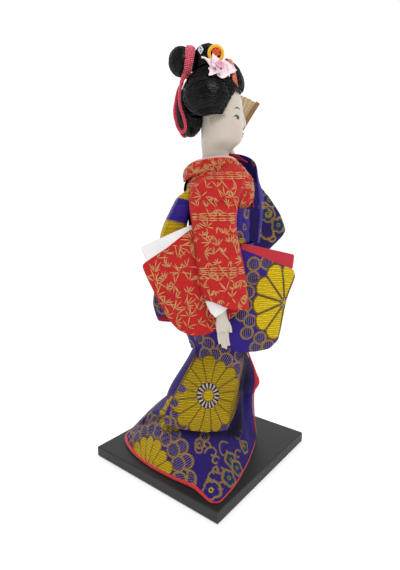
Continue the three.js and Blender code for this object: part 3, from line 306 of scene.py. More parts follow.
def with_hem(points, thick, deep):
    """Rows before a tube's first row, where its edge turns in and runs up inside."""
    edge = points[0]
    inward = unit((edge.mean(0) - edge) * [1, 1, 0])
    rows = [edge + inward * thick + [0, 0, deep * share] for share in (1, 0.6, 0.3)]
    for turn in np.linspace(math.pi, 0, 7)[:-1]:
        rows.append(edge + inward * thick * (1 - math.cos(turn)) / 2 - [0, 0, thick * math.sin(turn) / 2])
    return np.concatenate([np.array(rows), points])


def crowded(count, share):
    """Angles round the figure that lie closer together on the side that the photograph shows."""
    even = ring_angles(count)[None, :]
    return even + share * np.sin(even)


# Materials
def linear(hex_code):
    """sRGB hex to the linear colour that the shaders take."""
    channels = [(hex_code >> shift & 255) / 255 for shift in (16, 8, 0)]
    return tuple(c / 12.92 if c <= 0.04045 else ((c + 0.055) / 1.055) ** 2.4 for c in channels) + (1.0,)


def add_node(owner, kind, settings=None, **links):
    """A node with its settings. Links name an input, with _ for a space, and give a value, a socket or a node
    whose first output is meant."""
    tree = getattr(owner, "node_tree", owner)
    made = tree.nodes.new(kind)
    for key, value in (settings or {}).items():
        setattr(made, key, value)
    for key, value in links.items():
        numbered = key[0] == "i" and key[1:].isdigit()
        socket = made.inputs[int(key[1:]) if numbered else key.replace("_", " ")]
        if isinstance(value, bpy.types.Node):
            value = value.outputs[0]
        if isinstance(value, bpy.types.NodeSocket):
            tree.links.new(value, socket)
        else:
            socket.default_value = value
    return made


MULTIPLY, MULTIPLY_ADD, SCALED = ({"operation": work} for work in ("MULTIPLY", "MULTIPLY_ADD", "SCALE"))


def new_material(name):
    material = bpy.data.materials.new(name)
    material.use_nodes = True
    material.node_tree.nodes.clear()
    return material


def finish_material(material, shader):
    output = add_node(material, "ShaderNodeOutputMaterial")
    material.node_tree.links.new(shader.outputs[0], output.inputs["Surface"])
    return material


def ramp_of(material, source, stops):
    ramp = add_node(material, "ShaderNodeValToRGB", Fac=source)
    elements = ramp.color_ramp.elements
    while len(elements) < len(stops):
        elements.new(0.5)
    for element, (place, hex_code) in zip(elements, stops):
        element.position = place
        element.color = linear(hex_code)
    return ramp.outputs["Color"]


# A wave's scale is its bands a unit by this number, for threads in mm and for places in metres
BAND_SCALE = 3.1416
METRE_BANDS = 314
COARSE_RIB = 1.6  # the bundled weft under the yellow figures


def brocade(name, rib_mm, rib_depth, sheen_hex, roughness):
    """Figured weave: weft ribs across the cloth, with figures in thicker yellow and gold threads.
    The eye sees fine ribs, figures that stand proud and a soft thread gloss. The ribs are drawn coarser than
    the real threads, so that they show."""
    material = new_material(name)
    threads = add_node(material, "ShaderNodeAttribute", {"attribute_name": "weave"}).outputs["Vector"]
    # The figure colour holds the woven figures, with painted shade laid into some folds
    figure = add_node(material, "ShaderNodeAttribute", {"attribute_name": "figure"})
    relief = add_node(material, "ShaderNodeAttribute", {"attribute_name": "relief"}).outputs["Fac"]
    ribs = add_node(
        material, "ShaderNodeTexWave", {"bands_direction": "Y"},
        Vector=threads, Scale=1 / rib_mm / BAND_SCALE, Distortion=1.6, Detail=1.0, Detail_Scale=1.2,
    ).outputs["Fac"]
    picks = add_node(
        material, "ShaderNodeTexWave", {"bands_direction": "X"},
        Vector=threads, Scale=1 / (rib_mm * 0.8) / BAND_SCALE, Distortion=1.0, Detail=1.0,
    ).outputs["Fac"]
    grain = add_node(material, "ShaderNodeTexNoise", Vector=threads, Scale=0.9, Detail=3.0)
    shade = add_node(material, "ShaderNodeTexNoise", Vector=threads, Scale=0.06, Detail=2.0)
    both = add_node(material, "ShaderNodeMath", MULTIPLY_ADD, i0=picks, i1=0.35, i2=ribs)
    # Painted light and shade across the ribs: the colour is lighter on their crests and darker between them
    lit = add_node(material, "ShaderNodeMapRange", Value=both, From_Max=1.35, To_Min=0.3, To_Max=1.3)
    grainy = add_node(material, "ShaderNodeMapRange", Value=grain, To_Min=0.5, To_Max=1.45)
    broad = add_node(material, "ShaderNodeMapRange", Value=shade, To_Min=0.84, To_Max=1.16)
    tone = add_node(material, "ShaderNodeMath", MULTIPLY, i0=lit, i1=grainy)
    tone = add_node(material, "ShaderNodeMath", MULTIPLY, i0=tone, i1=broad)
    # Painted shade between the bundled weft under the yellow figures: their colour is darker in the coarse
    # ribs' troughs
    coarse = add_node(
        material, "ShaderNodeTexWave", {"bands_direction": "Y"},
        Vector=threads, Scale=METRE_BANDS * MM / COARSE_RIB, Distortion=2.6, Detail=2.0, Detail_Scale=2.4,
    ).outputs["Fac"]
    cut = add_node(material, "ShaderNodeMapRange", Value=coarse, To_Min=-0.42, To_Max=0.08)
    cut = add_node(material, "ShaderNodeMath", MULTIPLY_ADD, i0=cut, i1=relief, i2=1.0)
    tone = add_node(material, "ShaderNodeMath", MULTIPLY, i0=tone, i1=cut)
    colour = add_node(material, "ShaderNodeVectorMath", SCALED, i0=figure.outputs["Color"], Scale=tone)
    height = add_node(material, "ShaderNodeMath", MULTIPLY_ADD, i0=relief, i1=1.6, i2=both)
    bump = add_node(material, "ShaderNodeBump", Height=height, Strength=rib_depth, Distance=0.0005)
    shader = add_node(
        material, "ShaderNodeBsdfPrincipled", Base_Color=colour, Roughness=roughness,
        Normal=bump, Sheen_Weight=0.06, Sheen_Roughness=0.5, Sheen_Tint=linear(sheen_hex),
        Specular_IOR_Level=0.16,
    )
    return finish_material(material, shader)


def plain_cloth(name, hex_code, weave_mm, roughness, sheen, depth=0.25):
    """Plain woven lining: even fine threads, with soft changes of tone where it has been handled. The
    threads are drawn coarser than real ones, so that they show."""
    material = new_material(name)
    place = add_node(material, "ShaderNodeTexCoord").outputs["Object"]
    warp, weft = (
        add_node(
            material, "ShaderNodeTexWave", {"bands_direction": way}, Vector=place,
            Scale=METRE_BANDS / weave_mm, Distortion=1.0,
        ).outputs["Fac"]
        for way in ("Y", "Z")
    )
    cross = add_node(material, "ShaderNodeMath", {"operation": "ADD"}, i0=warp, i1=weft)
    soft = add_node(material, "ShaderNodeTexNoise", Vector=place, Scale=60.0, Detail=3.0)
    tone = add_node(material, "ShaderNodeMapRange", Value=soft, To_Min=0.86, To_Max=1.12)
    colour = add_node(material, "ShaderNodeVectorMath", SCALED, i0=linear(hex_code)[:3], Scale=tone)
    bump = add_node(material, "ShaderNodeBump", Height=cross, Strength=depth, Distance=0.0002)
    shader = add_node(
        material, "ShaderNodeBsdfPrincipled", Base_Color=colour, Roughness=roughness,
        Normal=bump, Sheen_Weight=sheen, Specular_IOR_Level=0.3,
    )
    return finish_material(material, shader)


PURPLE, PURPLE_DARK, YELLOW, GOLD, GOLD_DARK = 0x35208A, 0x1B0F42, 0xD6B204, 0xA88540, 0x6E5224
RED, PALE_GOLD, PLUM_BLUE, LILAC = 0xCB2322, 0xD0A263, 0x17406B, 0x9A84C4
CRIMSON, SCARLET, WHITE, ROSE = 0xB41C30, 0xC41F2A, 0xE6E6E4, 0xC81E3E
# Painted shade: the train lies in the panel's shade and the left sleeve in the body's, so their purple is
# painted darker
SHADED_TRAIN_PURPLE, SHADED_LEFT_PURPLE = 0x2D1C72, 0x2A1766
# Lit and shaded copies of the yellow: painted light on the slipped sleeve's flower, painted shade on the
# panel's flower
LIT_SLEEVE_YELLOW, SHADED_PANEL_YELLOW, TENDRIL_GOLD = 0xF2D00A, 0xC2A204, 0xB8924C
HEART_DARK, HEART_PALE, PLUM_SHADE = 0x22102E, 0xD8CBB8, 0x12263F

purple_cloth = brocade("figured silk brocade, purple", 0.95, 0.55, 0x8A78D8, 0.62)
red_cloth = brocade("figured silk brocade, red", 0.8, 0.4, 0xF0A090, 0.6)
gold_thread = plain_cloth("pale gold thread", PALE_GOLD, 0.4, 0.42, 0.2, 0.5)
crimson_cloth = plain_cloth("crimson rayon lining", CRIMSON, 0.5, 0.55, 0.2)
hem_cloth = plain_cloth("scarlet padded hem", SCARLET, 0.5, 0.5, 0.25)
white_cloth = plain_cloth("white cotton lining", WHITE, 0.4, 0.85, 0.1)
pink_cloth = plain_cloth("rose collar crepe", 0xE9BDB6, 0.6, 0.8, 0.3, 0.5)


def upward(out):
    """The way up in the plane of a cloth that faces out."""
    return np.array([0.0, 0.0, 1.0]) - out * out[2]


# Figures woven into the cloth, and painted shade in its folds, drawn on a piece's own points
class Weaver:
    """Colours the points of one piece, figure by figure."""

    def __init__(self, piece, ground):
        self.piece = piece
        self.points = spots(piece)
        self.normals = facings(piece)
        self.colour = np.tile(np.array(linear(ground)[:3]), (len(self.points), 1))
        self.relief = np.zeros(len(self.points))
        self.tree = surface_of(piece)

    def seen(self, px, py):
        """The point of the piece that the photograph shows at this pixel, with its outward direction."""
        scale = PHOTO_TALL * LENS_MM / SENSOR_MM
        way = LOOK + ACROSS * ((px - PHOTO_WIDE / 2) / scale) + ABOVE * ((PHOTO_TALL / 2 - py) / scale)
        start = Vector(tuple(np.array(EYE) / MM - FIGURE))
        hit, normal, _, _ = self.tree.ray_cast(start, way.normalized())
        if hit is None:
            hit, normal, _, _ = self.tree.find_nearest(start + way * (-start.x / way.x))
        if normal.dot(way) > 0:
            normal = -normal
        return np.array(hit), np.array(normal)

    def stand(self, place):
        """A figure's middle and the way it faces, from a pixel or from these six numbers themselves."""
        return self.seen(*place) if len(place) == 2 else (np.array(place[:3]), np.array(place[3:]))

    def near(self, place, turn, reach):
        """Local places of the points round a figure's middle, and which of them are near."""
        middle, out = self.stand(place)
        up = upward(out)
        up = unit(up) if np.linalg.norm(up) > 0.05 else np.array([0.0, 1.0, 0.0])
        side = np.cross(up, out)
        c, s = math.cos(math.radians(turn)), math.sin(math.radians(turn))
        u_way, v_way = side * c + up * s, up * c - side * s
        away = self.points - middle
        chosen = np.flatnonzero((np.linalg.norm(away, axis=1) < reach) & (self.normals @ out > 0.1))
        local = away[chosen]
        return chosen, local @ u_way, local @ v_way

    def lay(self, chosen, cover, hex_code, lift=0.0):
        """Lays thread of one colour over chosen points, as much as cover says."""
        colour = np.array(linear(hex_code)[:3])
        cover = np.clip(cover, 0, 1)
        self.colour[chosen] += (colour - self.colour[chosen]) * cover[:, None]
        self.relief[chosen] += (lift - self.relief[chosen]) * cover

    def line(self, chosen, u, v, route, wide, hex_code):
        """A thread line of some width along straight runs."""
        route = np.asarray(route, float)
        best = np.full(len(u), 1e9)
        for (au, av), (bu, bv) in zip(route[:-1], route[1:]):
            du, dv = bu - au, bv - av
            t = np.clip(((u - au) * du + (v - av) * dv) / (du * du + dv * dv + 1e-9), 0, 1)
            best = np.minimum(best, np.hypot(u - au - t * du, v - av - t * dv))
        self.lay(chosen, fade(best, wide / 2 - 0.15, wide / 2 + 0.3), hex_code, 1.0)

    def away_from(self, route):
        """How far each point lies from a line through the photograph's pixels."""
        line = along([self.seen(*place)[0] for place in route], 30)
        gap = np.full(len(self.points), 1e9)
        for a, b in zip(line[:-1], line[1:]):
            way = b - a
            t = np.clip(((self.points - a) @ way) / (way @ way), 0, 1)
            gap = np.minimum(gap, np.linalg.norm(self.points - a - t[:, None] * way, axis=1))
        return gap

    def shade(self, route, wide, amount):
        """Paints shade: darkens the cloth's colour deep in a fold, where shade falls."""
        self.colour *= 1 - amount * bell(self.away_from(route), 0, wide)[:, None]

    def edge(self, route, wide, hex_code):
        cover = fade(self.away_from(route), wide / 2, wide / 2 + 0.3)
        self.lay(np.arange(len(self.points)), cover, hex_code, 1.0)

    def fold(self, route, wide, deep):
        """Presses a groove along a line of the photograph's pixels, or lifts a ridge with deep below 0."""
        gap = self.away_from(route)
        self.points = self.points - self.normals * (deep * bell(gap, 0, wide))[:, None]
        move_spots(self.piece, self.points)
        self.normals = facings(self.piece)

    def finish(self):
        # The figure colour carries the woven figures and the painted shade laid by shade()
        rgba = np.column_stack([self.colour, np.ones(len(self.points))])
        set_layer(self.piece, "figure", "FLOAT_COLOR", "color", rgba)
        set_layer(self.piece, "relief", "FLOAT", "value", self.relief)


def scallop(weaver, place, radius, turn=0.0):
    """A rounded cloud scale with a broad gold rim and coarse lilac hatching."""
    chosen, u, v = weaver.near(place, turn, radius * 1.6)
    away = np.hypot(u, v)
    weaver.lay(chosen, fade(away, radius, radius + 0.4), GOLD, 0.8)
    core = fade(away, radius - 1.3, radius - 0.9)
    weaver.lay(chosen, core, PURPLE_DARK, 0.0)
    weaver.lay(chosen, smooth(np.sin(u * 4.4 + 0.5 * v), 0.1, 0.5) * core * 0.6, LILAC, 0.3)


def scallops(weaver, radius, places):
    for place in places:
        scallop(weaver, place, radius)


def chrysanthemum(
    weaver, place, radius, petals, heart=0.32, scales=(), tall=1.0, gap_wide=0.24, petal_hex=YELLOW
):
    """A large round flower: broad yellow petals with brown gold outlines round a striped heart."""
    for angle, reach, size in sorted(scales, key=lambda scale: -scale[1]):
        across, up_by = reach * math.cos(math.radians(angle)), reach * tall * math.sin(math.radians(angle))
        around_it = math.degrees(math.atan2(up_by, across))
        beside = weaver_offset(weaver, place, around_it, math.hypot(across, up_by))
        scallop(weaver, beside, size, angle - 90)
    chosen, u, v = weaver.near(place, 0, radius * 1.35 * max(tall, 1))
    v = v / tall
    away, angle = np.hypot(u, v), np.arctan2(v, u)
    which = np.floor(angle * petals / TAU)
    uneven = 0.03 * np.sin(which * 2.4) + 0.02 * np.sin(which * 5.1)
    wave = np.abs(np.sin(angle * petals / 2))
    tip = radius * (0.84 + uneven + 0.16 * wave**0.6)
    rim = 0.4 + gap_wide
    weaver.lay(chosen, fade(away, tip + rim - 0.4, tip + rim + 0.1), GOLD_DARK, 0.6)
    gap = away * np.abs(np.arcsin(np.clip(np.sin(angle * petals / 2), -1, 1))) * 2 / petals
    dashed = gap_wide + 0.2 * smooth(np.sin(away * 5.2 + which), -0.3, 0.4)
    inside = fade(away, tip - 0.8, tip - 0.4) * smooth(gap, dashed - 0.1, dashed + 0.22)
    weaver.lay(chosen, inside, petal_hex, 1.0)
    if heart:
        weaver.lay(chosen, fade(away, radius * heart, radius * heart + 0.3), HEART_DARK, 0.1)
        ring = fade(away, radius * heart - 0.4, radius * heart)
        weaver.lay(chosen, smooth(np.cos(angle * petals), 0.0, 0.4) * ring, HEART_PALE, 0.8)
        weaver.lay(chosen, fade(away, radius * heart * 0.5, radius * heart * 0.5 + 0.4), GOLD_DARK, 0.7)
        weaver.lay(chosen, fade(away, radius * heart * 0.42, radius * heart * 0.42 + 0.4), YELLOW, 1.0)


def shifted(weaver, px, py, across, up_by):
    """A place in the plane of the cloth at a pixel, moved across and up by millimetres."""
    middle, out = weaver.seen(px, py)
    up = unit(upward(out))
    return (*(middle + np.cross(up, out) * across + up * up_by), *out)


def weaver_offset(weaver, place, angle, reach):
    """A place on the cloth some way from another."""
    middle, out = weaver.stand(place)
    up = unit(upward(out))
    side = np.cross(up, out)
    way = side * math.cos(math.radians(angle)) + up * math.sin(math.radians(angle))
    hit, normal, _, _ = weaver.tree.find_nearest(Vector(middle + way * reach))
    normal = np.array(normal)
    return (*np.array(hit), *(normal if normal @ out > 0 else -normal))


def plum(weaver, place, radius, turn=0.0, petal_hex=PLUM_BLUE, heart_hex=GOLD):
    """A plum blossom with gold outlines."""
    chosen, u, v = weaver.near(place, turn, radius * 1.5)
    away, angle = np.hypot(u, v), np.arctan2(v, u)
    edge = radius * (0.8 + 0.2 * np.abs(np.cos(angle * 2.5)) ** 0.6)
    weaver.lay(chosen, fade(away, edge + 0.5, edge + 0.9), GOLD, 1.0)
    weaver.lay(chosen, fade(away, edge - 1.0, edge - 0.7), petal_hex, 0.2)
    shade = fade(away, edge * 0.62, edge * 0.7) * smooth(np.cos(angle * 5), -0.2, 0.5)
    weaver.lay(chosen, shade * 0.8, PLUM_SHADE, 0.0)
    weaver.lay(chosen, fade(away, radius * 0.24, radius * 0.3), heart_hex, 1.0)
    weaver.lay(chosen, fade(away, radius * 0.1, radius * 0.16), PURPLE_DARK, 0.2)


def swirl(weaver, place, radius, start, sweep_by, wide=0.9, hex_code=GOLD):
    """A gold tendril that winds inwards."""
    chosen, u, v = weaver.near(place, 0.0, radius * 1.4)
    angles = np.radians(np.linspace(start, start + sweep_by, 22))
    reach = radius * np.linspace(1, 0.3, 22)
    weaver.line(chosen, u, v, np.stack([reach * np.cos(angles), reach * np.sin(angles)], 1), wide, hex_code)


# Node trees that grow threads and stitches along lines
def growth_tree(name, sizes):
    tree = bpy.data.node_groups.new(name, "GeometryNodeTree")
    tree.interface.new_socket("Geometry", in_out="INPUT", socket_type="NodeSocketGeometry")
    for label, value in sizes.items():
        kind = "NodeSocketInt" if isinstance(value, int) else "NodeSocketFloat"
        tree.interface.new_socket(label, in_out="INPUT", socket_type=kind).default_value = value
    tree.interface.new_socket("Material", in_out="INPUT", socket_type="NodeSocketMaterial")
    tree.interface.new_socket("Geometry", in_out="OUTPUT", socket_type="NodeSocketGeometry")
    return tree, tree.nodes.new("NodeGroupInput").outputs


def end_tree(tree, given, shape):
    whole = add_node(tree, "GeometryNodeRealizeInstances", Geometry=shape)
    dressed = add_node(tree, "GeometryNodeSetMaterial", Geometry=whole, Material=given["Material"]).outputs[0]
    tree.links.new(dressed, tree.nodes.new("NodeGroupOutput").inputs[0])
    return tree


def make_strand_tree():
    """A round thread along each line, thinner towards its ends and a little uneven."""
    sizes = {"Radius": 0.0002, "Taper": 0.5, "Uneven": 0.1, "Sides": 5, "Seed": 3}
    tree, given = growth_tree("strands along lines", sizes)
    line = add_node(tree, "GeometryNodeMeshToCurve", Mesh=given["Geometry"])
    share = add_node(tree, "GeometryNodeSplineParameter").outputs["Factor"]
    half_turn = add_node(tree, "ShaderNodeMath", MULTIPLY, i0=share, i1=math.pi)
    swell = add_node(tree, "ShaderNodeMath", {"operation": "SINE"}, i0=half_turn)
    swell = add_node(tree, "ShaderNodeMath", {"operation": "MAXIMUM"}, i0=swell, i1=0.02)
    swell = add_node(tree, "ShaderNodeMath", {"operation": "POWER"}, i0=swell, i1=given["Taper"])
    less = add_node(tree, "ShaderNodeMath", {"operation": "SUBTRACT"}, i0=1.0, i1=given["Uneven"])
    own = add_node(
        tree, "FunctionNodeRandomValue", {"data_type": "FLOAT"}, i2=less, i3=1.0, Seed=given["Seed"]
    )
    thick = add_node(tree, "ShaderNodeMath", MULTIPLY, i0=swell, i1=own.outputs[1])
    thick = add_node(tree, "ShaderNodeMath", MULTIPLY, i0=thick, i1=given["Radius"])
    round_profile = add_node(tree, "GeometryNodeCurvePrimitiveCircle", Resolution=given["Sides"], Radius=1.0)
    tube = add_node(
        tree, "GeometryNodeCurveToMesh", Curve=line, Profile_Curve=round_profile, Scale=thick,
        Fill_Caps=True,
    )
    return end_tree(tree, given, tube)


def make_stitch_tree():
    """Short round stitches set along each line, each turned a little out of line."""
    sizes = {"Spacing": 0.002, "Long": 0.0006, "Thick": 0.0002, "Loose": 0.15, "Seed": 5}
    tree, given = growth_tree("stitches along lines", sizes)
    line = add_node(tree, "GeometryNodeMeshToCurve", Mesh=given["Geometry"])
    places = add_node(
        tree, "GeometryNodeCurveToPoints", {"mode": "LENGTH"}, Curve=line, Length=given["Spacing"]
    )
    stitch = add_node(tree, "GeometryNodeMeshUVSphere", Segments=8, Rings=6, Radius=1.0)
    size = add_node(tree, "ShaderNodeCombineXYZ", X=given["Thick"], Y=given["Thick"], Z=given["Long"])
    set_down = add_node(
        tree, "GeometryNodeInstanceOnPoints", Points=places.outputs["Points"], Instance=stitch,
        Rotation=places.outputs["Rotation"], Scale=size,
    )
    lean = add_node(
        tree, "FunctionNodeRandomValue", {"data_type": "FLOAT_VECTOR"}, i0=(-1, -1, -1), i1=(1, 1, 1),
        Seed=given["Seed"],
    )
    lean = add_node(tree, "ShaderNodeVectorMath", SCALED, i0=lean, Scale=given["Loose"])
    turned = add_node(tree, "GeometryNodeRotateInstances", Instances=set_down, Rotation=lean)
    return end_tree(tree, given, turned)


strand_tree = make_strand_tree()
stitch_tree = make_stitch_tree()


def grown(name, lines, tree, material, slot, body="body", origin=FIGURE, **sizes):
    """What a node tree grows along lines, as one piece."""
    edges, first = [], 0
    for line in lines:
        edges += [(first + k, first + k + 1) for k in range(len(line) - 1)]
        first += len(line)
    mesh = bpy.data.meshes.new(name)
    mesh.from_pydata(((np.concatenate(lines) + origin) * MM).tolist(), edges, [])
    piece = add_object(name, mesh)
    growth = piece.modifiers.new("growth", "NODES")
    growth.node_group = tree
    sizes["Material"] = material
    for socket in tree.interface.items_tree:
        if socket.in_out == "INPUT" and socket.name in sizes:
            growth[socket.identifier] = sizes[socket.name]
    settle(piece)
    piece.data.shade_smooth()
    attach(piece, body)
    return piece


# Bamboo in gold thread on the red brocade
def spray_lines(at, size, turn, leaves):
    """Bamboo leaves that spread from one joint."""
    lines = []
    for k in range(leaves):
        angle = math.radians(turn + (k - (leaves - 1) / 2) * rng.uniform(24, 42) + rng.uniform(-9, 9))
        long = size * rng.uniform(0.55, 1.1)
        bend = rng.uniform(-0.22, 0.22)
        run = np.linspace(0.08, 1, 6)[:, None] * long
        way = np.array([math.cos(angle), math.sin(angle)])
        lines.append(np.array(at) + run * way + (run / long) ** 2 * bend * long * np.array([-way[1], way[0]]))
    return lines


def band_lines(low_u, high_u, level):
    """Two thin stems side by side across the cloth, with their joints."""
    lines = []
    for rise in (0.0, 2.6):
        u = np.arange(low_u, high_u, 0.9)
        middle = level + rise + 0.35 * np.sin(u / 7.0 + rise)
        for edge in (-0.62, 0.62):
            swell = edge * (1 + 0.35 * (np.abs((u + 3 * rise) % 6.3 - 3.1) < 0.7))
            for k in range(0, len(u) - 7, 7):
                lines.append(np.column_stack([u, middle + swell])[k:k + 8])
        for joint in np.arange(low_u + 2 + rise, high_u, 6.3):
            at = level + rise
            lines.append(np.array([[joint, at - 0.8], [joint + 0.1, at], [joint, at + 0.8]]))
    return lines


def bamboo_lines(box, bands, spread, size):
    """Bamboo stems across a stretch of cloth, with leaf sprays and slanted stems between them."""
    low_u, high_u, low_v, high_v = box
    lines = []
    for r, level in enumerate(np.arange(low_v + 1, high_v, spread * 0.84)):
        if any(abs(level - band - 1.3) < spread * 0.5 for band in bands):
            continue
        for start in np.arange(low_u + (r % 2) * spread / 2, high_u, spread):
            at = (start + rng.uniform(-1.5, 1.5), level + rng.uniform(-1.3, 1.3))
            way = 90 + rng.choice([0, 0, 0, 180, 30, -30, -90, 90]) + rng.uniform(-16, 16)
            lines += spray_lines(at, size * rng.uniform(0.75, 1.2), way, int(rng.integers(3, 7)))
            if rng.uniform() < 0.45:
                lines += spray_lines(at, size * 1.5, way + 150, 1)
    for band in bands:
        lines += band_lines(low_u, high_u, band)
    return lines


def from_right(u, v):
    return (-150.0, u, v), (1.0, 0.0, 0.0)


TOWARDS_MM = 24  # millimetres of cloth for each radian round the chest


def towards_axis(u, v):
    c, s = math.cos(u / TOWARDS_MM), math.sin(u / TOWARDS_MM)
    return (100 * c, BODY_Y + 100 * s, v), (-c, -s, 0.0)


def laid(piece, flat_lines, start_of, lift=0.06):
    """Flat lines laid on a piece's surface, and cut where they leave it or turn sharply away."""
    tree = surface_of(piece)
    lines = []
    for flat in flat_lines:
        line = []
        for u, v in flat:
            start, way = start_of(u, v)
            hit, normal, _, _ = tree.ray_cast(Vector(start), Vector(way))
            on_it = hit is not None and abs(normal.dot(Vector(way))) > 0.18
            if line and (not on_it or np.linalg.norm(np.array(hit) - line[-1]) > 2.9):
                lines.append(line)
                line = []
            if on_it:
                line.append(np.array(hit) - np.array(way) * lift)
        lines.append(line)
    return [np.array(line) for line in lines if len(line) > 2]


def gold_threads(name, lines, radius=0.27):
    grown(name, lines, strand_tree, gold_thread, "red_brocade", Radius=radius * MM, Taper=0.55, Sides=4)


# Skirt and train
SKIRT_ROWS = np.array([
    # height, reach to the front, back, right and left of the body's axis
    [KNEE - 40, 25.5, 41, 26, 27],
    [KNEE - 27, 25.5, 36.5, 24, 25],
    [KNEE - 15, 25.5, 30, 22.5, 22],
    [KNEE - 5, 21.5, 24, 21.5, 20.5],
    [KNEE + 3, 20, 20.2, 20.5, 20],
    [KNEE + 13, 20, 22.6, 21, 21],
    [KNEE + 33, 21.5, 25, 23.5, 23.5],
    [HIP, 22.5, 24, 25, 25],
    [OBI_LOW, 20.5, 20.5, 23, 23],
])
FLARE_TOP = KNEE - 40
SWEEP_TOWARD, SWEEP_SPREAD, SWEEP_REACH = 2.3, 0.5, 16.0
HEM = [
    (0.8, -44.7), (-28.5, -34), (-52.7, -20.8), (-67.5, -10.5), (-77, 0.6), (-61.5, 12.5),
    (-48.3, 27.5), (-30.3, 45), (-8.7, 58.7), (11, 63), (24, 54), (32, 40), (36, 22), (34, 3),
    (29, -16), (21, -32), (11, -41.5),
]
hem_line = along(HEM, 800, closed=True)


def hem_reach(angle):
    own = np.arctan2(hem_line[:, 1] - BODY_Y, hem_line[:, 0])
    reach = np.hypot(hem_line[:, 0], hem_line[:, 1] - BODY_Y)
    order = np.argsort(own)
    wanted = np.arctan2(np.sin(angle), np.cos(angle))
    return np.interp(wanted, own[order], reach[order], period=TAU)


def skirt_reach(angle, z):
    c, s = np.cos(angle), np.sin(angle)
    row = through(SKIRT_ROWS[:, 0], SKIRT_ROWS[:, 1:], np.maximum(z, FLARE_TOP))
    half_x = np.where(c < 0, row[..., 2], row[..., 3])
    half_y = np.where(s < 0, row[..., 0], row[..., 1])
    oval = oval_reach(c / half_x, s / half_y, 2.2)
    swept = SWEEP_REACH * smooth(KNEE + 12 - z, 0, 52)
    return oval + swept * bell(angle, SWEEP_TOWARD, SWEEP_SPREAD)


def fold_at(angle, depth):
    beside_edge = bell(angle, 4.05, 0.33) * -5.5
    return (beside_edge + np.cos(angle * 7) * 1.3) * depth


def front_swell(angle, z):
    """The cloth stands forward under the panel's front edge."""
    return 2.6 * bell(angle % TAU, 4.6, 0.3) * bell(z, 51, 6)


def train_reach(angle, z):
    upper = skirt_reach(angle, np.maximum(z, FLARE_TOP))
    high = upper + fold_at(angle, smooth(KNEE - z, 0, 30) * 0.8) + front_swell(angle, z)
    backness = smooth(np.sin(angle), -0.2, 0.75)
    power = mix(2, 0.8, backness)
    share = np.clip(1 - np.maximum(z, 0) / FLARE_TOP, 0, 1) ** power
    low = mix(upper, hem_reach(angle), share) + fold_at(angle, (1 - share) * 0.8)
    return np.where(z >= FLARE_TOP, high, low)


def even_columns(points, rows):
    """Each column of a grid divided again into even steps along itself."""
    run = run_along(points)
    out = np.empty((rows, points.shape[1], 3))
    for j in range(points.shape[1]):
        wanted = np.linspace(0, run[-1, j], rows)
        for k in range(3):
            out[:, j, k] = np.interp(wanted, run[:, j], points[:, j, k])
    return out


# The hanging panel's two sides and their turns in radians, and its lower corners and reach in mm
PANEL = {
    "back": 2.3, "front": 3.72, "turn_back": 0.12, "turn_front": 0.55, "back_low": 35, "front_low": 27,
    "hang": 4.4,
}
SKIRT_LAYER = 4.4  # how far the outer skirt lies out from the figure's own skirt


def panel_share(angle):
    behind = smooth(angle, PANEL["back"] - 0.07, PANEL["back"] + 0.04)
    return behind * fade(angle, PANEL["front"] - 0.04, PANEL["front"] + 0.08)


def panel_low(angle):
    return mix(PANEL["back_low"], PANEL["front_low"], smooth(angle, PANEL["back"], PANEL["front"]))


def panel_hang(z):
    """How freely the panel hangs at a height."""
    return smooth(KNEE + 12 - z, 0, KNEE - 20)


def panel_turn(angle):
    return mix(PANEL["turn_back"], PANEL["turn_front"], smooth(angle, PANEL["back"], PANEL["front"]))


def hem_radius(angle):
    """The padded hem is a thin piping at the front and swells towards the back."""
    full = mix(1.3, 0.5, smooth(angle % TAU, 2.72, 2.98))
    return mix(0.9, full, smooth(angle % TAU, 0.4, 1.6))


def tucked_reach(angle, z):
    """The train runs inside the panel down to the panel's lower edge, and spreads below it."""
    reach = train_reach(angle, z)
    flat = angle % TAU
    below = panel_hang(z)
    for _ in range(2):
        flat = angle % TAU + panel_turn(flat) * below * panel_share(flat)
    share = panel_share(flat)
    edge = panel_low(flat)
    inside = skirt_reach(angle, np.maximum(z, FLARE_TOP)) + SKIRT_LAYER + PANEL["hang"] * below * share - 4.6
    tuck = smooth(z, edge - 9, edge - 1.5) * smooth(share, 0.3, 0.8)
    return mix(reach, np.minimum(reach, inside), tuck)


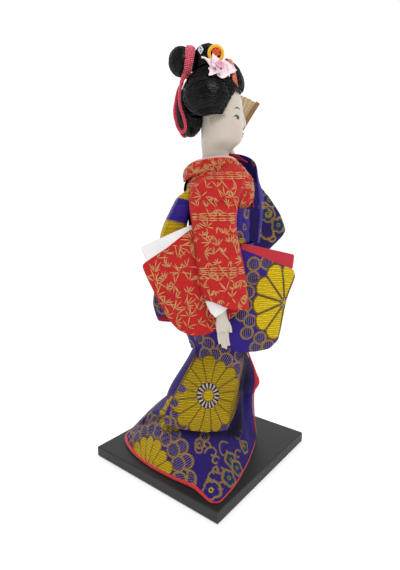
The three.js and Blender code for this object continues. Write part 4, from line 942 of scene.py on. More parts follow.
def make_train():
    columns = 430
    angle = crowded(columns, 0.6)
    z = np.concatenate([np.linspace(KNEE + 2, FLARE_TOP, 160), np.linspace(FLARE_TOP, 0, 260)[1:]])[:, None]
    reach = tucked_reach(angle, z)
    edge_z = 0.9 * hem_radius(angle)
    points = np.stack([reach * np.cos(angle), BODY_Y + reach * np.sin(angle), z + 0 * angle], -1)
    points[..., 2] = np.where(z < FLARE_TOP, edge_z + z * (1 - edge_z / FLARE_TOP), z)
    points = even_columns(points, 212)
    under = points[-1].copy()
    under[:, :2] = (under[:, :2] - [0, BODY_Y]) * 0.9 + [0, BODY_Y]
    under[:, 2] = 0.4
    points = np.concatenate([under[None], points[::-1]])
    run = run_along(points)
    weave = np.stack([np.broadcast_to(angle * 34, run.shape), run], -1)
    piece = grid_piece("train_cloth", points, closed=True, caps=True, weave=weave)
    piece.data.materials.append(purple_cloth)
    # The train's ground is the purple painted darker, as painted shade under the panel
    weaver = Weaver(piece, SHADED_TRAIN_PURPLE)
    for route, wide, deep in (
        (((166, 411), (152, 413), (139, 419)), 1.8, -1.4), (((166, 417), (152, 419), (140, 425)), 2.0, 1.4),
        (((246, 398), (245, 425), (243, 440)), 3.0, 2.6), (((203, 436), (196, 455), (192, 478)), 3.2, 1.3),
        (((226, 440), (222, 462), (219, 485)), 2.8, 1.0), (((152, 428), (138, 448), (126, 462)), 3.4, 1.1),
    ):
        weaver.fold(route, wide, deep)
    scales = [(a, 32, 5.4) for a in range(-20, 190, 18)] + [(a, 39, 5.4) for a in range(-11, 180, 15)]
    chrysanthemum(weaver, shifted(weaver, 158, 452, -7, -19), 27, 16, heart=0, scales=scales)
    scallops(weaver, 3.6, ((205, 436), (200, 443), (150, 417), (158, 420), (166, 424)))
    chrysanthemum(weaver, (171, 414), 13, 14, heart=0)
    for place, size in (((231, 460), 5.6), ((237, 468), 5.4), ((229, 478), 5.8), ((245, 447), 4.6)):
        plum(weaver, place, size, 12)
    for place, size, start, sweep_by in (
        ((225, 450), 7, 20, 300), ((213, 478), 5, 60, 250), ((207, 487), 4, 90, -250),
        ((238, 455), 4, 10, 260), ((240, 433), 5, 200, 240), ((222, 469), 4, 120, 280),
        ((200, 449), 4, 90, 300), ((206, 445), 3.4, -40, 290), ((212, 453), 5, 170, -280),
        ((216, 461), 3.6, 30, 270), ((208, 481), 3.4, -90, 280), ((222, 487), 4, 0, 250),
        ((243, 443), 3.6, 120, 260), ((217, 470), 3.2, 200, -260),
    ):
        swirl(weaver, place, size, start, sweep_by, 1.0)
    plum(weaver, (211, 490), 6.4, 0, PURPLE, YELLOW)
    scales = [(a, 25, 5.4) for a in range(-10, 200, 24)]
    chrysanthemum(weaver, (26.0, 40.0, 16.0, 0.55, 0.6, 0.6), 20, 16, scales=scales)
    for x, y, size in ((36.0, 8.0, 6.0), (34.0, -6.0, 5.2), (31.0, 4.0, 5.0)):
        plum(weaver, (x, y, 26.0, 0.9, 0.0, 0.4), size)
    # Painted shade: the recess right of the panel, the shadow under the panel's lower edge and the groove by
    # its back corner
    weaver.shade([(245, 352), (244, 385), (242, 410), (237, 430)], 8.0, 0.93)
    weaver.shade([(168, 428), (190, 432), (212, 434), (232, 432)], 3.6, 0.7)
    weaver.shade([(166, 417), (152, 419), (141, 424)], 2.4, 0.6)
    weaver.finish()
    place_piece(piece, "train")


TURNED_IN = 4.0  # the hem's cloth that runs up inside


def make_outer_skirt():
    columns, low_rows, high_rows = 400, 165, 55
    flat = crowded(columns, 0.72)
    t = np.concatenate([np.linspace(1, 0.52, low_rows), np.linspace(0.52, 0, high_rows + 1)[1:]])[:, None]
    share = panel_share(flat)
    z = mix(OBI_LOW - 0.3, mix(KNEE + 5, panel_low(flat), share), t)
    below = panel_hang(z)
    angle = flat - panel_turn(flat) * below * share
    reach = skirt_reach(angle, np.maximum(z, FLARE_TOP)) + SKIRT_LAYER + PANEL["hang"] * below * share
    reach = reach + 0.5 * np.cos(angle * 9 + 1) * smooth(OBI_LOW - z, 10, 60)
    points = np.stack([reach * np.cos(angle), BODY_Y + reach * np.sin(angle), z + 0 * angle], -1)
    points = with_hem(points, 1.0, TURNED_IN)
    weave = np.stack([np.broadcast_to(flat * 27, points.shape[:2]), points[..., 2]], -1)
    piece = grid_piece("outer_skirt_cloth", points, closed=True, weave=weave)
    piece.data.materials.append(purple_cloth)
    weaver = Weaver(piece, PURPLE)
    weaver.fold([(232, 310), (238, 345), (243, 385)], 3.0, 0.9)
    weaver.fold([(196, 300), (192, 330), (186, 356)], 3.4, 0.9)
    scales = [(a, 28, 5.2) for a in (12, 32, 52, 72, 92, 235, 215, 195, 290, 312, 334)]
    scales += [(a, 35.5, 5.2) for a in (22, 42, 62, 82, 225, 205, 301, 323)]
    # The panel's flower takes the yellow painted darker, as painted shade
    chrysanthemum(weaver, (208.5, 395.5), 26.5, 16, scales=scales, tall=1.06, petal_hex=SHADED_PANEL_YELLOW)
    scallops(
        weaver, 4.5, ((206, 333), (199, 338), (214, 328), (222, 334), (230, 327), (238, 335), (191, 345))
    )
    scallops(weaver, 3.6, ((171, 397), (168, 406), (165, 415), (176, 388), (167, 421)))
    for turn in (0.3, 1.2):
        c, s = math.cos(turn), math.sin(turn)
        scales = [(a, 14, 3.8) for a in range(0, 360, 30)]
        chrysanthemum(weaver, (28 * c, BODY_Y + 28 * s, KNEE + 34, c, s, 0.0), 11, 12, scales=scales)
    # Painted shade along the panel's front edge, by the recess beside it
    weaver.shade([(250, 350), (249, 385), (244, 410)], 4.5, 0.8)
    weaver.finish()
    place_piece(piece, "outer_skirt")
    girth = TAU * (skirt_reach(flat, np.full(columns, HIP)).mean() + SKIRT_LAYER)
    panel_wide = (PANEL["front"] - PANEL["back"]) * girth / TAU
    panel_end = (PANEL["back_low"] + PANEL["front_low"]) / 2
    cut = girth * (OBI_LOW - KNEE - 5 + TURNED_IN) + panel_wide * (KNEE + 5 - panel_end)
    as_sheet(piece, girth, OBI_LOW - panel_end, "draped", ["wound_padding"], cut)


make_train()
make_outer_skirt()


# Strips, rolls and cords that follow a line
def frames_along(line, out_at):
    way = unit(np.gradient(line, axis=0))
    out = out_at(line)
    out = unit(out - way * (out * way).sum(1, keepdims=True))
    return way, out, np.cross(way, out)


def strip_piece(name, path, out_at, wide_at, thick, steps, bow=0.0, origin=FIGURE):
    """A folded band of cloth with rounded edges along a path."""
    line = along(path, steps)
    t = np.linspace(0, 1, steps)
    _, out, side = frames_along(line, out_at)
    wide = wide_at(t)
    angle = ring_angles(28)
    flat = np.sign(np.cos(angle)) * np.abs(np.cos(angle)) ** 0.55
    rise = np.sign(np.sin(angle)) * np.abs(np.sin(angle)) ** 0.8
    depth = (thick(t) if callable(thick) else np.full(steps, thick))[:, None]
    points = (
        line[:, None]
        + side[:, None] * (wide[:, None] / 2 * flat)[..., None]
        + out[:, None] * (depth / 2 * rise + bow * (1 - flat**2))[..., None]
    )
    run = run_along(line)
    weave = np.stack([
        np.broadcast_to(flat * wide.mean() / 2, points.shape[:2]),
        np.broadcast_to(run[:, None], points.shape[:2]),
    ], -1)
    piece = grid_piece(name, points, closed=True, caps=True, weave=weave, origin=origin)
    return face_out(piece), run[-1]


def roll_piece(name, path, radius_at, steps, around, dimple=None, origin=FIGURE):
    line = along(path, steps)
    t = np.linspace(0, 1, steps)
    _, out, side = frames_along(line, lambda p: np.tile([0.0, 0.1, 1.0], (len(p), 1)))
    run = run_along(line)
    angle = ring_angles(around)
    radius = radius_at(t)[:, None] * np.ones((1, around))
    if dimple is not None:
        radius = radius * dimple(run[:, None], angle[None, :])
    c, s = np.cos(angle)[None, :, None], np.sin(angle)[None, :, None]
    points = line[:, None] + (out[:, None] * c + side[:, None] * s) * radius[..., None]
    piece = grid_piece(name, points, closed=True, caps=True, origin=origin)
    return face_out(piece), line, run[-1]


CORD_ROUTE = [
    (-3.4, 26, 62.2), (-6.6, 27.4, 59.2), (-10.4, 28.1, 55.4), (-14, 29.1, 50.8), (-16.2, 29.6, 45.2),
    (-17, 28.9, 39.4), (-17, 27.3, 34.4), (-16.6, 26, 29.8), (-15.8, 25.8, 26.4), (-14.4, 27, 24.5),
    (-12.8, 29, 25.2), (-11.8, 30.9, 28.2), (-11.2, 32, 33), (-10.8, 32.4, 38.4), (-10.4, 31.8, 44.2),
    (-9.2, 30.6, 50), (-7, 29, 54.6), (-4.2, 27.2, 58), (-2, 26.4, 60),
]
# The far loop hangs a little further forward, and its lower end a little higher
FAR_FORWARD, FAR_FROM, FAR_RAISED, FAR_OVER = 3.0, 44.0, 40.0, 14.0
CORD_WIDE = 2.0


def crepe_dimples(run, angle):
    """Twisted crepe: dimples that wind round the cord."""
    return 1 - 0.05 * (1 + np.sin(angle * 5 + run * 4.2) * np.sin(angle * 5 - run * 4.2)) / 2


rose_crepe = plain_cloth("rose crepe, dimpled", ROSE, 0.8, 0.6, 0.4, 0.6)
for side_name, side in (("right", 1), ("left", -1)):
    forward = FAR_FORWARD * (side < 0)
    route = [
        (
            x * side, y - forward * float(smooth(FAR_FROM - z, 0, FAR_OVER)),
            z + 0.6 * forward * float(smooth(FAR_RAISED - z, 0, FAR_OVER)),
        )
        for x, y, z in CORD_ROUTE
    ]
    loop, line, long = roll_piece(
        f"hair_loop_{side_name}", route, lambda t: np.full(len(t), CORD_WIDE / 2), 260, 20,
        dimple=crepe_dimples, origin=HEAD,
    )
    place_piece(loop, f"hair_cord_{side_name}", "head", rose_crepe)


def make_hem():
    stations = 60
    share = np.linspace(0.02, 0.93, stations) * len(hem_line)
    base = hem_line[share.astype(int) % len(hem_line)]
    away = base - [0, BODY_Y]
    radius = hem_radius(np.arctan2(away[:, 1], away[:, 0]))
    route = np.column_stack([base - unit(away) * (radius * 0.55)[:, None], radius + 0.05])

    def wide(t):
        closing = 0.3 + 0.7 * smooth(np.minimum(t, 1 - t), 0, 0.02)
        return np.interp(t, np.linspace(0, 1, stations), radius) * closing

    roll, _, _ = roll_piece("padded_hem", route, wide, 560, 20)
    place_piece(roll, "train_hem_roll", material=hem_cloth)


make_hem()


EDGE_X = (-3, -4, -5, -5.6, -5.8, -5.6, -5.4, -5.2, -5, -4.6, -4.2, -4)


def edge_route():
    """The red edge follows the front of the skirt down to the hem."""
    route = []
    for z, x in zip(np.linspace(KNEE - 3, 4.0, len(EDGE_X)), EDGE_X):
        angle = -math.pi / 2
        for _ in range(3):
            reach = float(train_reach(np.array(angle % TAU), np.array(z)))
            angle = -math.acos(x / reach)
        route.append((x, BODY_Y + (reach + 0.5) * math.sin(angle), z))
    return route


def edge_bulge(t):
    """The lining puffs out where the skirt opens below the knee."""
    return bell(t, 0.35, 0.085)


front_edge, front_edge_long = strip_piece(
    "front_edge_cloth", edge_route(), lambda p: np.tile([-0.35, -1.0, 0.0], (len(p), 1)),
    lambda t: mix(2.9, 1.8, t) + 1.6 * edge_bulge(t), lambda t: 0.9 + 4.0 * edge_bulge(t), 200, bow=0.4,
)
place_piece(front_edge, "front_edge_lining", material=hem_cloth)
EDGE_WIDE, EDGE_THICK = 2.6, 1.5  # both are means over its length
as_sheet(front_edge, EDGE_WIDE + EDGE_THICK, front_edge_long, "draped", ["train_cloth"])


# Garments round the chest
BODY_ROWS = np.array([
    # height, half width, half depth, middle in y
    [KNEE - 16, 9, 9, BODY_Y],
    [KNEE - 6, 13, 12, BODY_Y],
    [KNEE + 20, 15.5, 14.5, BODY_Y],
    [HIP, 20, 17, BODY_Y],
    [OBI_LOW, 18.5, 16, BODY_Y + 1],
    [OBI_HIGH - 6, 18.5, 16, BODY_Y + 1],
    [OBI_HIGH + 6, 22, 17.5, BODY_Y + 2.5],
    [SHOULDER - 2, 26, 19, BODY_Y + 3.5],
    [SHOULDER + 5, 22, 17, BODY_Y + 2.5],
    [NECK, 14.9, 14, BODY_Y],
])
WAIST_ROW, CHEST_ROW = 4, 7
# How far each layer lies out from the padding, and how far a bodice runs under the obi and over the neck
UNDER_LAYER, KIMONO_LAYER, OBI_LAYER = 1.9, 4.0, 6.7
UNDER_OBI, OVER_NECK = 4, 1
KIMONO_FROM, KIMONO_TO = -1.35, 1.6


def body_skin(angle, z, out):
    row = through(BODY_ROWS[:, 0], BODY_ROWS[:, 1:], z)
    half_x, half_y, middle = row[..., 0] + out, row[..., 1] + out, row[..., 2]
    c, s = np.cos(angle), np.sin(angle)
    reach = oval_reach(c, s, 2.4)
    return np.stack([half_x * c * reach, middle + half_y * s * reach, z + 0 * angle], -1)


def bodice(name, out, low, high, start, end, columns, rows):
    angle = np.linspace(start, end, columns)[None, :]
    z = np.linspace(low, high, rows)[:, None]
    skin = body_skin(angle, z, out)
    weave = np.stack(np.broadcast_arrays(angle * TOWARDS_MM, z), -1)
    return grid_piece(name, skin, weave=weave)


def bodice_cut(out, sweep):
    """Cut as a rectangle as wide as the shoulders need, and drawn in towards the neck."""
    _, chest_x, chest_y, _ = BODY_ROWS[CHEST_ROW]
    slope = math.hypot(NECK + OVER_NECK - SHOULDER, chest_x - BODY_ROWS[-1, 1])
    return sweep * ((chest_x + chest_y) / 2 + out), SHOULDER - OBI_HIGH + UNDER_OBI + slope


red_bodice = bodice(
    "red_bodice_cloth", UNDER_LAYER, OBI_HIGH - UNDER_OBI, NECK + OVER_NECK, 0, TAU, 260, 90
)
weaver = Weaver(red_bodice, RED)
round_it = np.arctan2(weaver.points[:, 1] - BODY_Y, weaver.points[:, 0]) % TAU
height = weaver.points[:, 2]
# The crossed front stands out over the obi
front_fill = bell(round_it, 4.2, 0.55) * smooth(height, OBI_HIGH - 3, OBI_HIGH + 7)
front_fill *= fade(height, SHOULDER + 3, SHOULDER + 14)
sideways = np.column_stack([np.cos(round_it), np.sin(round_it), 0 * height])
move_spots(red_bodice, weaver.points + sideways * (7.0 * front_fill)[:, None])
around_body = bamboo_lines((0, TOWARDS_MM * TAU, OBI_HIGH - 3, NECK), [OBI_HIGH + 15], 6.0, 5.2)
place_piece(red_bodice, "red_bodice")
as_sheet(red_bodice, *bodice_cut(UNDER_LAYER, TAU), "draped", ["wound_padding"])
weaver = Weaver(red_bodice, RED)
weaver.fold([(236, 207), (241, 202), (247, 197)], 1.0, 0.9)
weaver.finish()
red_bodice.data.materials.append(red_cloth)
gold_threads("bodice_bamboo", laid(red_bodice, around_body, towards_axis), 0.34)

kimono_bodice = bodice(
    "kimono_bodice_cloth", KIMONO_LAYER, OBI_HIGH - UNDER_OBI, NECK + OVER_NECK, KIMONO_FROM, KIMONO_TO,
    160, 70,
)
kimono_bodice.data.materials.append(purple_cloth)
weaver = Weaver(kimono_bodice, PURPLE)
for place in ((24.0, -4.0, 204.0, 1.0, 0.0, 0.2), (10.0, -35.0, 196.0, 0.3, -1.0, 0.0)):
    plum(weaver, place, 6)
weaver.finish()
place_piece(kimono_bodice, "kimono_bodice")
kimono_cut = bodice_cut(KIMONO_LAYER, KIMONO_TO - KIMONO_FROM)
as_sheet(kimono_bodice, *kimono_cut, "draped", ["red_bodice_cloth"])

obi = bodice("obi_cloth", OBI_LAYER, OBI_LOW, OBI_HIGH, 0, TAU, 330, 76)
obi.data.materials.append(purple_cloth)
weaver = Weaver(obi, PURPLE)
for px, py, size in ((247, 213, 4.0), (239, 237, 4.2), (257, 222, 3.4), (243, 243, 3.6), (259, 240, 3.4)):
    scallop(weaver, (px, py), size)
chosen, u, v = weaver.near((253.6, 226), 0, 20)
weaver.line(chosen, u, v, [(0, -14), (0, 14)], 0.9, YELLOW)
chosen, u, v = weaver.near((256, 231.5), 0, 6)
weaver.lay(chosen, fade(np.hypot(u / 1.4, v), 1.6, 1.9), YELLOW, 1.0)
chosen, u, v = weaver.near((245, 227), 0, 6)
weaver.lay(chosen, fade(np.abs(np.hypot(u, v) - 2.0), 0.3, 0.6), GOLD, 1.0)
weaver.edge([(241, 241), (257, 243)], 3.2, YELLOW)
weaver.fold([(242, 221), (248, 227), (253, 235)], 1.4, 0.8)
weaver.finish()
thicken(obi, 1.2)
place_piece(obi, "obi_wrap")
waist_half = (BODY_ROWS[WAIST_ROW, 1] + BODY_ROWS[WAIST_ROW, 2]) / 2 + OBI_LAYER
as_sheet(obi, OBI_HIGH - OBI_LOW, TAU * waist_half, "draped", ["kimono_bodice_cloth"])


def collar_path(out, nape, lift, low, reach_x):
    side_x = 13.4 + out
    right = [
        (-reach_x, BODY_Y - 17.5 - out - 1.5, low),
        (-reach_x - 5, BODY_Y - 17.5 - out, mix(low, NECK, 0.55)),
        (-side_x + 1, BODY_Y - 8, NECK + lift - 0.6),
        (-side_x - 1, BODY_Y + 3, NECK + lift + 0.6),
        (-side_x * 0.72, BODY_Y + mix(13.4, 13.4 + nape, 0.62), NECK + lift - 2),
    ]
    left = [(-x, y, z) for x, y, z in right[::-1]]
    return [*right, (0, BODY_Y + 13.4 + nape, NECK + lift - 5), *left]


def out_from_neck(p):
    return np.column_stack([p[:, 0], (p[:, 1] - BODY_Y) * 1.1, np.full(len(p), 4.0)])


COLLAR_THICK = 1.4
ROSE_PATH = collar_path(1.6, 9.4, 4.3, OBI_HIGH + 4, 1.6)
RED_PATH = collar_path(4.8, 12.2, 1.8, OBI_HIGH + 3, 3.4)
for name, node_name, path, wide, material, slot in (
    ("rose_collar", "inner_collar", ROSE_PATH, 8.0, pink_cloth, "pink_collar"),
    ("red_collar_cloth", "red_collar", RED_PATH, 10.0, red_cloth, "red_brocade"),
):
    collar, collar_long = strip_piece(
        name, path, out_from_neck, lambda t: np.full(len(t), wide), COLLAR_THICK, 300
    )
    place_piece(collar, node_name, material=material)
    as_sheet(collar, wide + COLLAR_THICK, collar_long, "folded", ["red_bodice_cloth"])
    if material is red_cloth:
        Weaver(collar, RED).finish()
        round_neck = bamboo_lines((0, TOWARDS_MM * TAU, NECK - 22, NECK + 8), [], 4.2, 4.4)
        gold_threads("collar_bamboo", laid(collar, round_neck, towards_axis))

BAND_PATH = [
    (-4, -43.6, OBI_LOW - 1), (-5, -44.8, OBI_HIGH - 10), (-5, -45.4, OBI_HIGH + 5),
    (2, -45.4, OBI_HIGH + 18), (12, -41, NECK + 4), (20, -30, NECK + 9), (23, -15, NECK + 8),
    (20.5, 0, NECK + 4), (11, 10.5, NECK - 1),
]
# Each strip's mean width over its length, and its thickness
BAND_WIDE, BAND_THICK = 11.4, 1.5
LINING_WIDE, LINING_THICK = 4.7, 1.0


def band_out(p):
    turned = 15 * smooth(NECK + 4 - p[:, 2], 0, 20)
    return np.column_stack([p[:, 0] * 0.6 - turned, p[:, 1] - BODY_Y, np.full(len(p), 9.0)])


def band_wide(t):
    """Narrow at its ends, and widest where it stands away from the shoulder."""
    swell = 5 * np.sin(np.pi * np.clip((t - 0.1) / 0.9, 0, 1))
    return 7.5 + swell + 6 * bell(t, 0.4, 0.1)


band, band_long = strip_piece("collar_band_cloth", BAND_PATH, band_out, band_wide, BAND_THICK, 300)
band.data.materials.append(purple_cloth)
weaver = Weaver(band, PURPLE)
for px, py, size in ((252, 156, 3.4), (254, 162, 3.0), (252, 206, 2.6), (253, 232, 3.0)):
    scallop(weaver, (px, py), size)
weaver.finish()
place_piece(band, "collar_band")
as_sheet(band, BAND_WIDE + BAND_THICK, band_long, "folded", ["kimono_bodice_cloth"])

lining_path = [(x * 0.88, mix(y, BODY_Y, 0.1), z + 3.2) for x, y, z in BAND_PATH[4:]]
band_lining, lining_long = strip_piece(
    "collar_lining_cloth", lining_path, band_out, lambda t: 0.8 + 4.6 * smooth(t, 0, 0.3), LINING_THICK, 200
)
place_piece(band_lining, "collar_lining", material=crimson_cloth)
as_sheet(band_lining, LINING_WIDE + LINING_THICK, lining_long, "folded", ["collar_band_cloth"])


# Sleeves: a tube round the arm and flat bags
ARM_ROWS = np.array([
    # height, middle x, middle y, half width, half depth
    [HIP - 19.5, -39, -13.2, 9.6, 15.8],
    [HIP - 15, -39, -12.6, 9.6, 15.8],
    [HIP + 6, -38.5, -9.6, 9.6, 16],
    [OBI_LOW + 8, -37, -6.2, 9.8, 15],
    [OBI_HIGH, -34.5, -5.6, 10.5, 15.6],
    [OBI_HIGH + 7, -32, -6.2, 11, 16.4],
    [SHOULDER - 3, -29, -9, 11, 18.4],
    [SHOULDER + 2.5, -26.5, -10.2, 10.4, 17.4],
    [SHOULDER + 6, -23.5, -11.2, 8.4, 14.5],
    [SHOULDER + 8.4, -20.5, -12, 5.2, 9.4],
    [SHOULDER + 9.6, -18.5, -12.3, 0.6, 1.5],
])


def arm_tube():
    columns, rows = 170, 170
    angle = ring_angles(columns)[None, :]
    z = np.linspace(ARM_ROWS[0, 0], ARM_ROWS[-1, 0], 600)[:, None]
    row = through(ARM_ROWS[:, 0], ARM_ROWS[:, 1:], z)
    x, y, half_x, half_y = (row[..., k] for k in range(4))
    c, s = np.cos(angle), np.sin(angle)
    reach = oval_reach(c, s, 2.3)
    crease = 0.35 * np.sin(z / 4.4 + angle * 2)
    crease = crease * smooth(z, HIP + 10, OBI_HIGH) * smooth(SHOULDER + 4 - z, 0, 20)
    half_x, half_y = half_x + crease, half_y + crease
    tilt = 0.12 * fade(z, HIP - 19.5, HIP - 10) * half_y * s * reach
    tilt = tilt - 4.5 * s * smooth(z, SHOULDER - 12, SHOULDER + 6)
    tilt = tilt + 4.2 * smooth(s, -0.2, 0.9) * fade(z, HIP - 19.5, HIP - 8)
    points = np.stack([x + half_x * c * reach, y + half_y * s * reach, z + tilt + 0 * angle], -1)
    points = with_hem(even_columns(points, rows), 0.8, 5.0)
    weave = np.stack([np.broadcast_to(angle * 13.5, points.shape[:2]), points[..., 2]], -1)
    return grid_piece("sleeve_tube", points, closed=True, weave=weave)


def bag_sheet(name, outline, place, half_thick, side, rings=105, around=380, waves=0.5, pull=0.45):
    """One cloth side of a flat sleeve bag, puffed a little and rounded at its seam."""
    edge = along(outline, around, closed=True, pull=pull)
    turn = np.sum(edge[:, 0] * np.roll(edge[:, 1], -1) - np.roll(edge[:, 0], -1) * edge[:, 1])
    if turn < 0:
        edge = edge[::-1]
    middle = edge.mean(0)
    share = np.linspace(0, 1, rings + 1)[1:, None, None]
    flat = middle + (edge[None] - middle) * share
    y, z = flat[..., 0], flat[..., 1]
    rounded = np.sqrt(np.clip(1 - share[..., 0] ** 14, 0, 1))
    puff = half_thick * rounded * (0.78 + 0.22 * np.cos(share[..., 0] * 2.2))
    ripple = waves * np.sin(y / 9.0 + z / 14.0) * (1 - 0.5 * share[..., 0])
    x = place(y, z) + side * puff + ripple
    points = np.stack([x, y, z], -1).reshape(-1, 3)
    centre = np.array([[place(*middle) + side * half_thick, middle[0], middle[1]]])
    faces = grid_faces(rings, around, closed=True, first=1)
    faces += [[0, 1 + j, 1 + (j + 1) % around] for j in range(around)]
    piece = make_mesh(name, np.concatenate([centre, points]), faces)
    set_weave(piece, np.concatenate([centre[:, 1:], points[:, 1:]]))
    if side * facings(piece)[:, 0].mean() < 0:
        piece.data.flip_normals()
    return piece


def low(drop):
    return HIP - drop


RIGHT_BAG = [
    (4, low(-30)), (10, low(-32)), (26, low(-20.5)), (42.4, low(-9)), (36, low(8)), (27, low(27)),
    (20, low(36)), (10, low(41)), (-2, low(40)), (-14, low(32)), (-27, low(21)), (-27, low(14)),
]
SLIPPED = [
    (-24, low(-18)), (-44, low(-10.5)), (-64, low(-1.8)), (-65.3, low(3)), (-59.8, low(19)),
    (-53.9, low(49.5)), (-47.3, low(56)), (-36.2, low(57.7)), (-22, low(56.5)), (-8, low(48)),
    (8, low(38)), (24, low(32.5)), (33, low(31)), (36.4, low(19)), (34, low(5)), (10, low(-9)),
]
LEFT_SLEEVE = [
    (-20, SHOULDER + 13), (-36, SHOULDER + 14.6), (-51, SHOULDER + 5), (-63, SHOULDER - 8),
    (-73, SHOULDER - 22.6), (-78, SHOULDER - 36), (-75.6, SHOULDER - 41), (-64.6, SHOULDER - 52),
    (-51, SHOULDER - 65), (-36, SHOULDER - 75), (-22, SHOULDER - 77), (-14, SHOULDER - 66),
    (-11, SHOULDER - 40), (-12, SHOULDER - 12),
]


def right_bag_at(y, z):
    return -35.2 - 0.02 * (HIP - z)


def slipped_at(y, z):
    return -28.9 + 0.02 * (low(30) - z) + 0.07 * np.maximum(-30 - y, 0)


def left_sleeve_at(y, z):
    return 37.5 + 0.02 * (SHOULDER - z)


def from_left(u, v):
    return (150.0, u, v), (-1.0, 0.0, 0.0)


def turned_lines(lines, degrees):
    c, s = math.cos(math.radians(degrees)), math.sin(math.radians(degrees))
    return [np.array(line) @ np.array([[c, -s], [s, c]]) for line in lines]


def make_right_sleeve():
    tube = arm_tube()
    bag = [
        bag_sheet(f"right_bag_{side}", RIGHT_BAG, right_bag_at, 2.6, side, rings=50, around=200)
        for side in (-1, 1)
    ]
    folds = Weaver(tube, RED)
    folds.fold([(188, 205), (205, 202), (222, 202), (236, 208)], 1.3, 1.3)
    folds.fold([(188, 201), (205, 198), (222, 198), (234, 203)], 1.8, -1.0)
    folds.fold([(192, 232), (206, 236), (222, 245)], 1.8, 0.5)
    folds.fold([(236, 226), (228, 240), (226, 262)], 2.0, 0.6)
    outside = bamboo_lines((-32, 20, HIP - 19, SHOULDER + 8), [145, 180, 206.5], 7.0, 5.8)
    slanted = turned_lines(bamboo_lines((34, 134, 56, 158), [], 8.6, 7.4), -35)
    threads = []
    for start_of in (from_right, from_left):
        threads += laid(tube, outside, start_of)
        threads += laid(bag[start_of is from_left], slanted, start_of)
    piece = join_pieces("right_sleeve_cloth", [tube, *bag])
    Weaver(piece, RED).finish()
    place_piece(piece, "right_sleeve", material=red_cloth)
    girth = TAU * (ARM_ROWS[:, 3].mean() + ARM_ROWS[:, 4].mean()) / 2
    arm_long = ARM_ROWS[-1, 0] - ARM_ROWS[0, 0]
    deep, _ = outline_span(RIGHT_BAG)
    cut = girth * arm_long + 2 * outline_area(RIGHT_BAG)
    as_sheet(piece, girth + 2 * deep, arm_long, "hung", ["red_bodice_cloth"], cut)
    gold_threads("sleeve_bamboo", threads, 0.36)


def flat_bag(name, outline, place, half_thick, draw, ground=PURPLE):
    sheets = []
    for side, face in ((-1, "outer"), (1, "inner")):
        rings, around = (105, 380) if side < 0 else (50, 170)
        sheet = bag_sheet(f"{name}_{face}", outline, place, half_thick, side, rings, around)
        sheet.data.materials.append(purple_cloth)
        weaver = Weaver(sheet, ground)
        draw(weaver, side)
        weaver.finish()
        sheets.append(sheet)
    return join_pieces(name, sheets)


def draw_slipped(weaver, side):
    # The flower's middle lies on the turned edge, so it takes its plane from the flat cloth beside it
    place = (-26.0, -62.0, 122.0, 1.0, 0.0, 0.0)
    if side < 0:
        scallops(weaver, 4.9, (
            (267, 263), (254, 264), (253, 278), (248, 292), (246, 305), (242, 315), (250, 321), (247, 333),
            (256, 347), (260, 338), (268, 346),
        ))
        place = (*weaver.seen(284.5, 302.5)[0], *weaver.seen(262, 302.5)[1])
    # The flower takes the yellow painted brighter, as painted light on the slipped sleeve
    chrysanthemum(weaver, place, 24.5, 11, heart=0.13, tall=1.2, gap_wide=0.6, petal_hex=LIT_SLEEVE_YELLOW)
    if side < 0:
        scallops(weaver, 4.5, ((152, 290), (158, 300), (163, 308), (170, 300), (166, 290), (176, 309)))
        weaver.edge([(152, 317), (166, 319.5)], 5.0, CRIMSON)


def draw_left(weaver, side):
    if side < 0:
        for place, size, turn in (((269, 200), 6.8, 20), ((267.5, 214), 6.8, 60), ((278.5, 225), 6.4, 0)):
            plum(weaver, place, size, turn)
        for place, size, start, sweep_by in (
            ((262, 208), 2.2, 0, 360), ((270, 232), 9, 170, 190), ((279, 222), 8.5, -60, 180),
            ((273, 238), 4, 180, 260), ((276, 205), 5, 20, 240), ((281, 212), 4, 80, -260),
        ):
            swirl(weaver, place, size, start, sweep_by, 1.7, TENDRIL_GOLD)
    else:
        for y, z in ((-40, 190), (-30, 176), (-52, 178)):
            plum(weaver, (40.0, y, z, 1.0, 0.0, 0.0), 6.2)
        chrysanthemum(weaver, (40.0, -26, 148, 1.0, 0.0, 0.0), 17, 18)


make_right_sleeve()
slipped_sleeve = flat_bag("slipped_sleeve_cloth", SLIPPED, slipped_at, 2.7, draw_slipped)
# The left sleeve's ground is the purple painted darker, as painted shade from the body
left_sleeve = flat_bag("left_sleeve_cloth", LEFT_SLEEVE, left_sleeve_at, 6.4, draw_left, SHADED_LEFT_PURPLE)


SHOULDER_ROWS = np.array([
    # place in x, middle in y, height above the shoulder, half depth and half height
    [20, -13, -2, 14, 9],
    [27, -17, -3, 18, 12],
    [33, -23, -6, 20, 14],
    [39, -27, -9, 18, 15],
    [42, -28, -11, 12, 12],
    [43, -28, -11, 1, 1],
])
SHOULDER_GIRTH, SHOULDER_LONG = TAU * 15, 24


def shoulder_roll():
    """The cloth that goes over the left shoulder and closes the sleeve's top."""
    x = np.linspace(SHOULDER_ROWS[0, 0], SHOULDER_ROWS[-1, 0], 60)[:, None]
    row = through(SHOULDER_ROWS[:, 0], SHOULDER_ROWS[:, 1:], x)
    y, z, half_y, half_z = (row[..., k] for k in range(4))
    angle = ring_angles(140)[None, :]
    points = np.stack([
        x + 0 * angle, y + half_y * np.cos(angle), SHOULDER + z + half_z * np.sin(angle)
    ], -1)
    piece = grid_piece("left_shoulder", points, closed=True, caps=True)
    piece.data.materials.append(purple_cloth)
    weaver = Weaver(piece, PURPLE)
    plum(weaver, (33.0, -20.0, 212.0, 0.3, 0.0, 1.0), 6)
    weaver.finish()
    return face_out(piece)


left_sleeve = join_pieces("left_sleeve_cloth", [left_sleeve, shoulder_roll()])
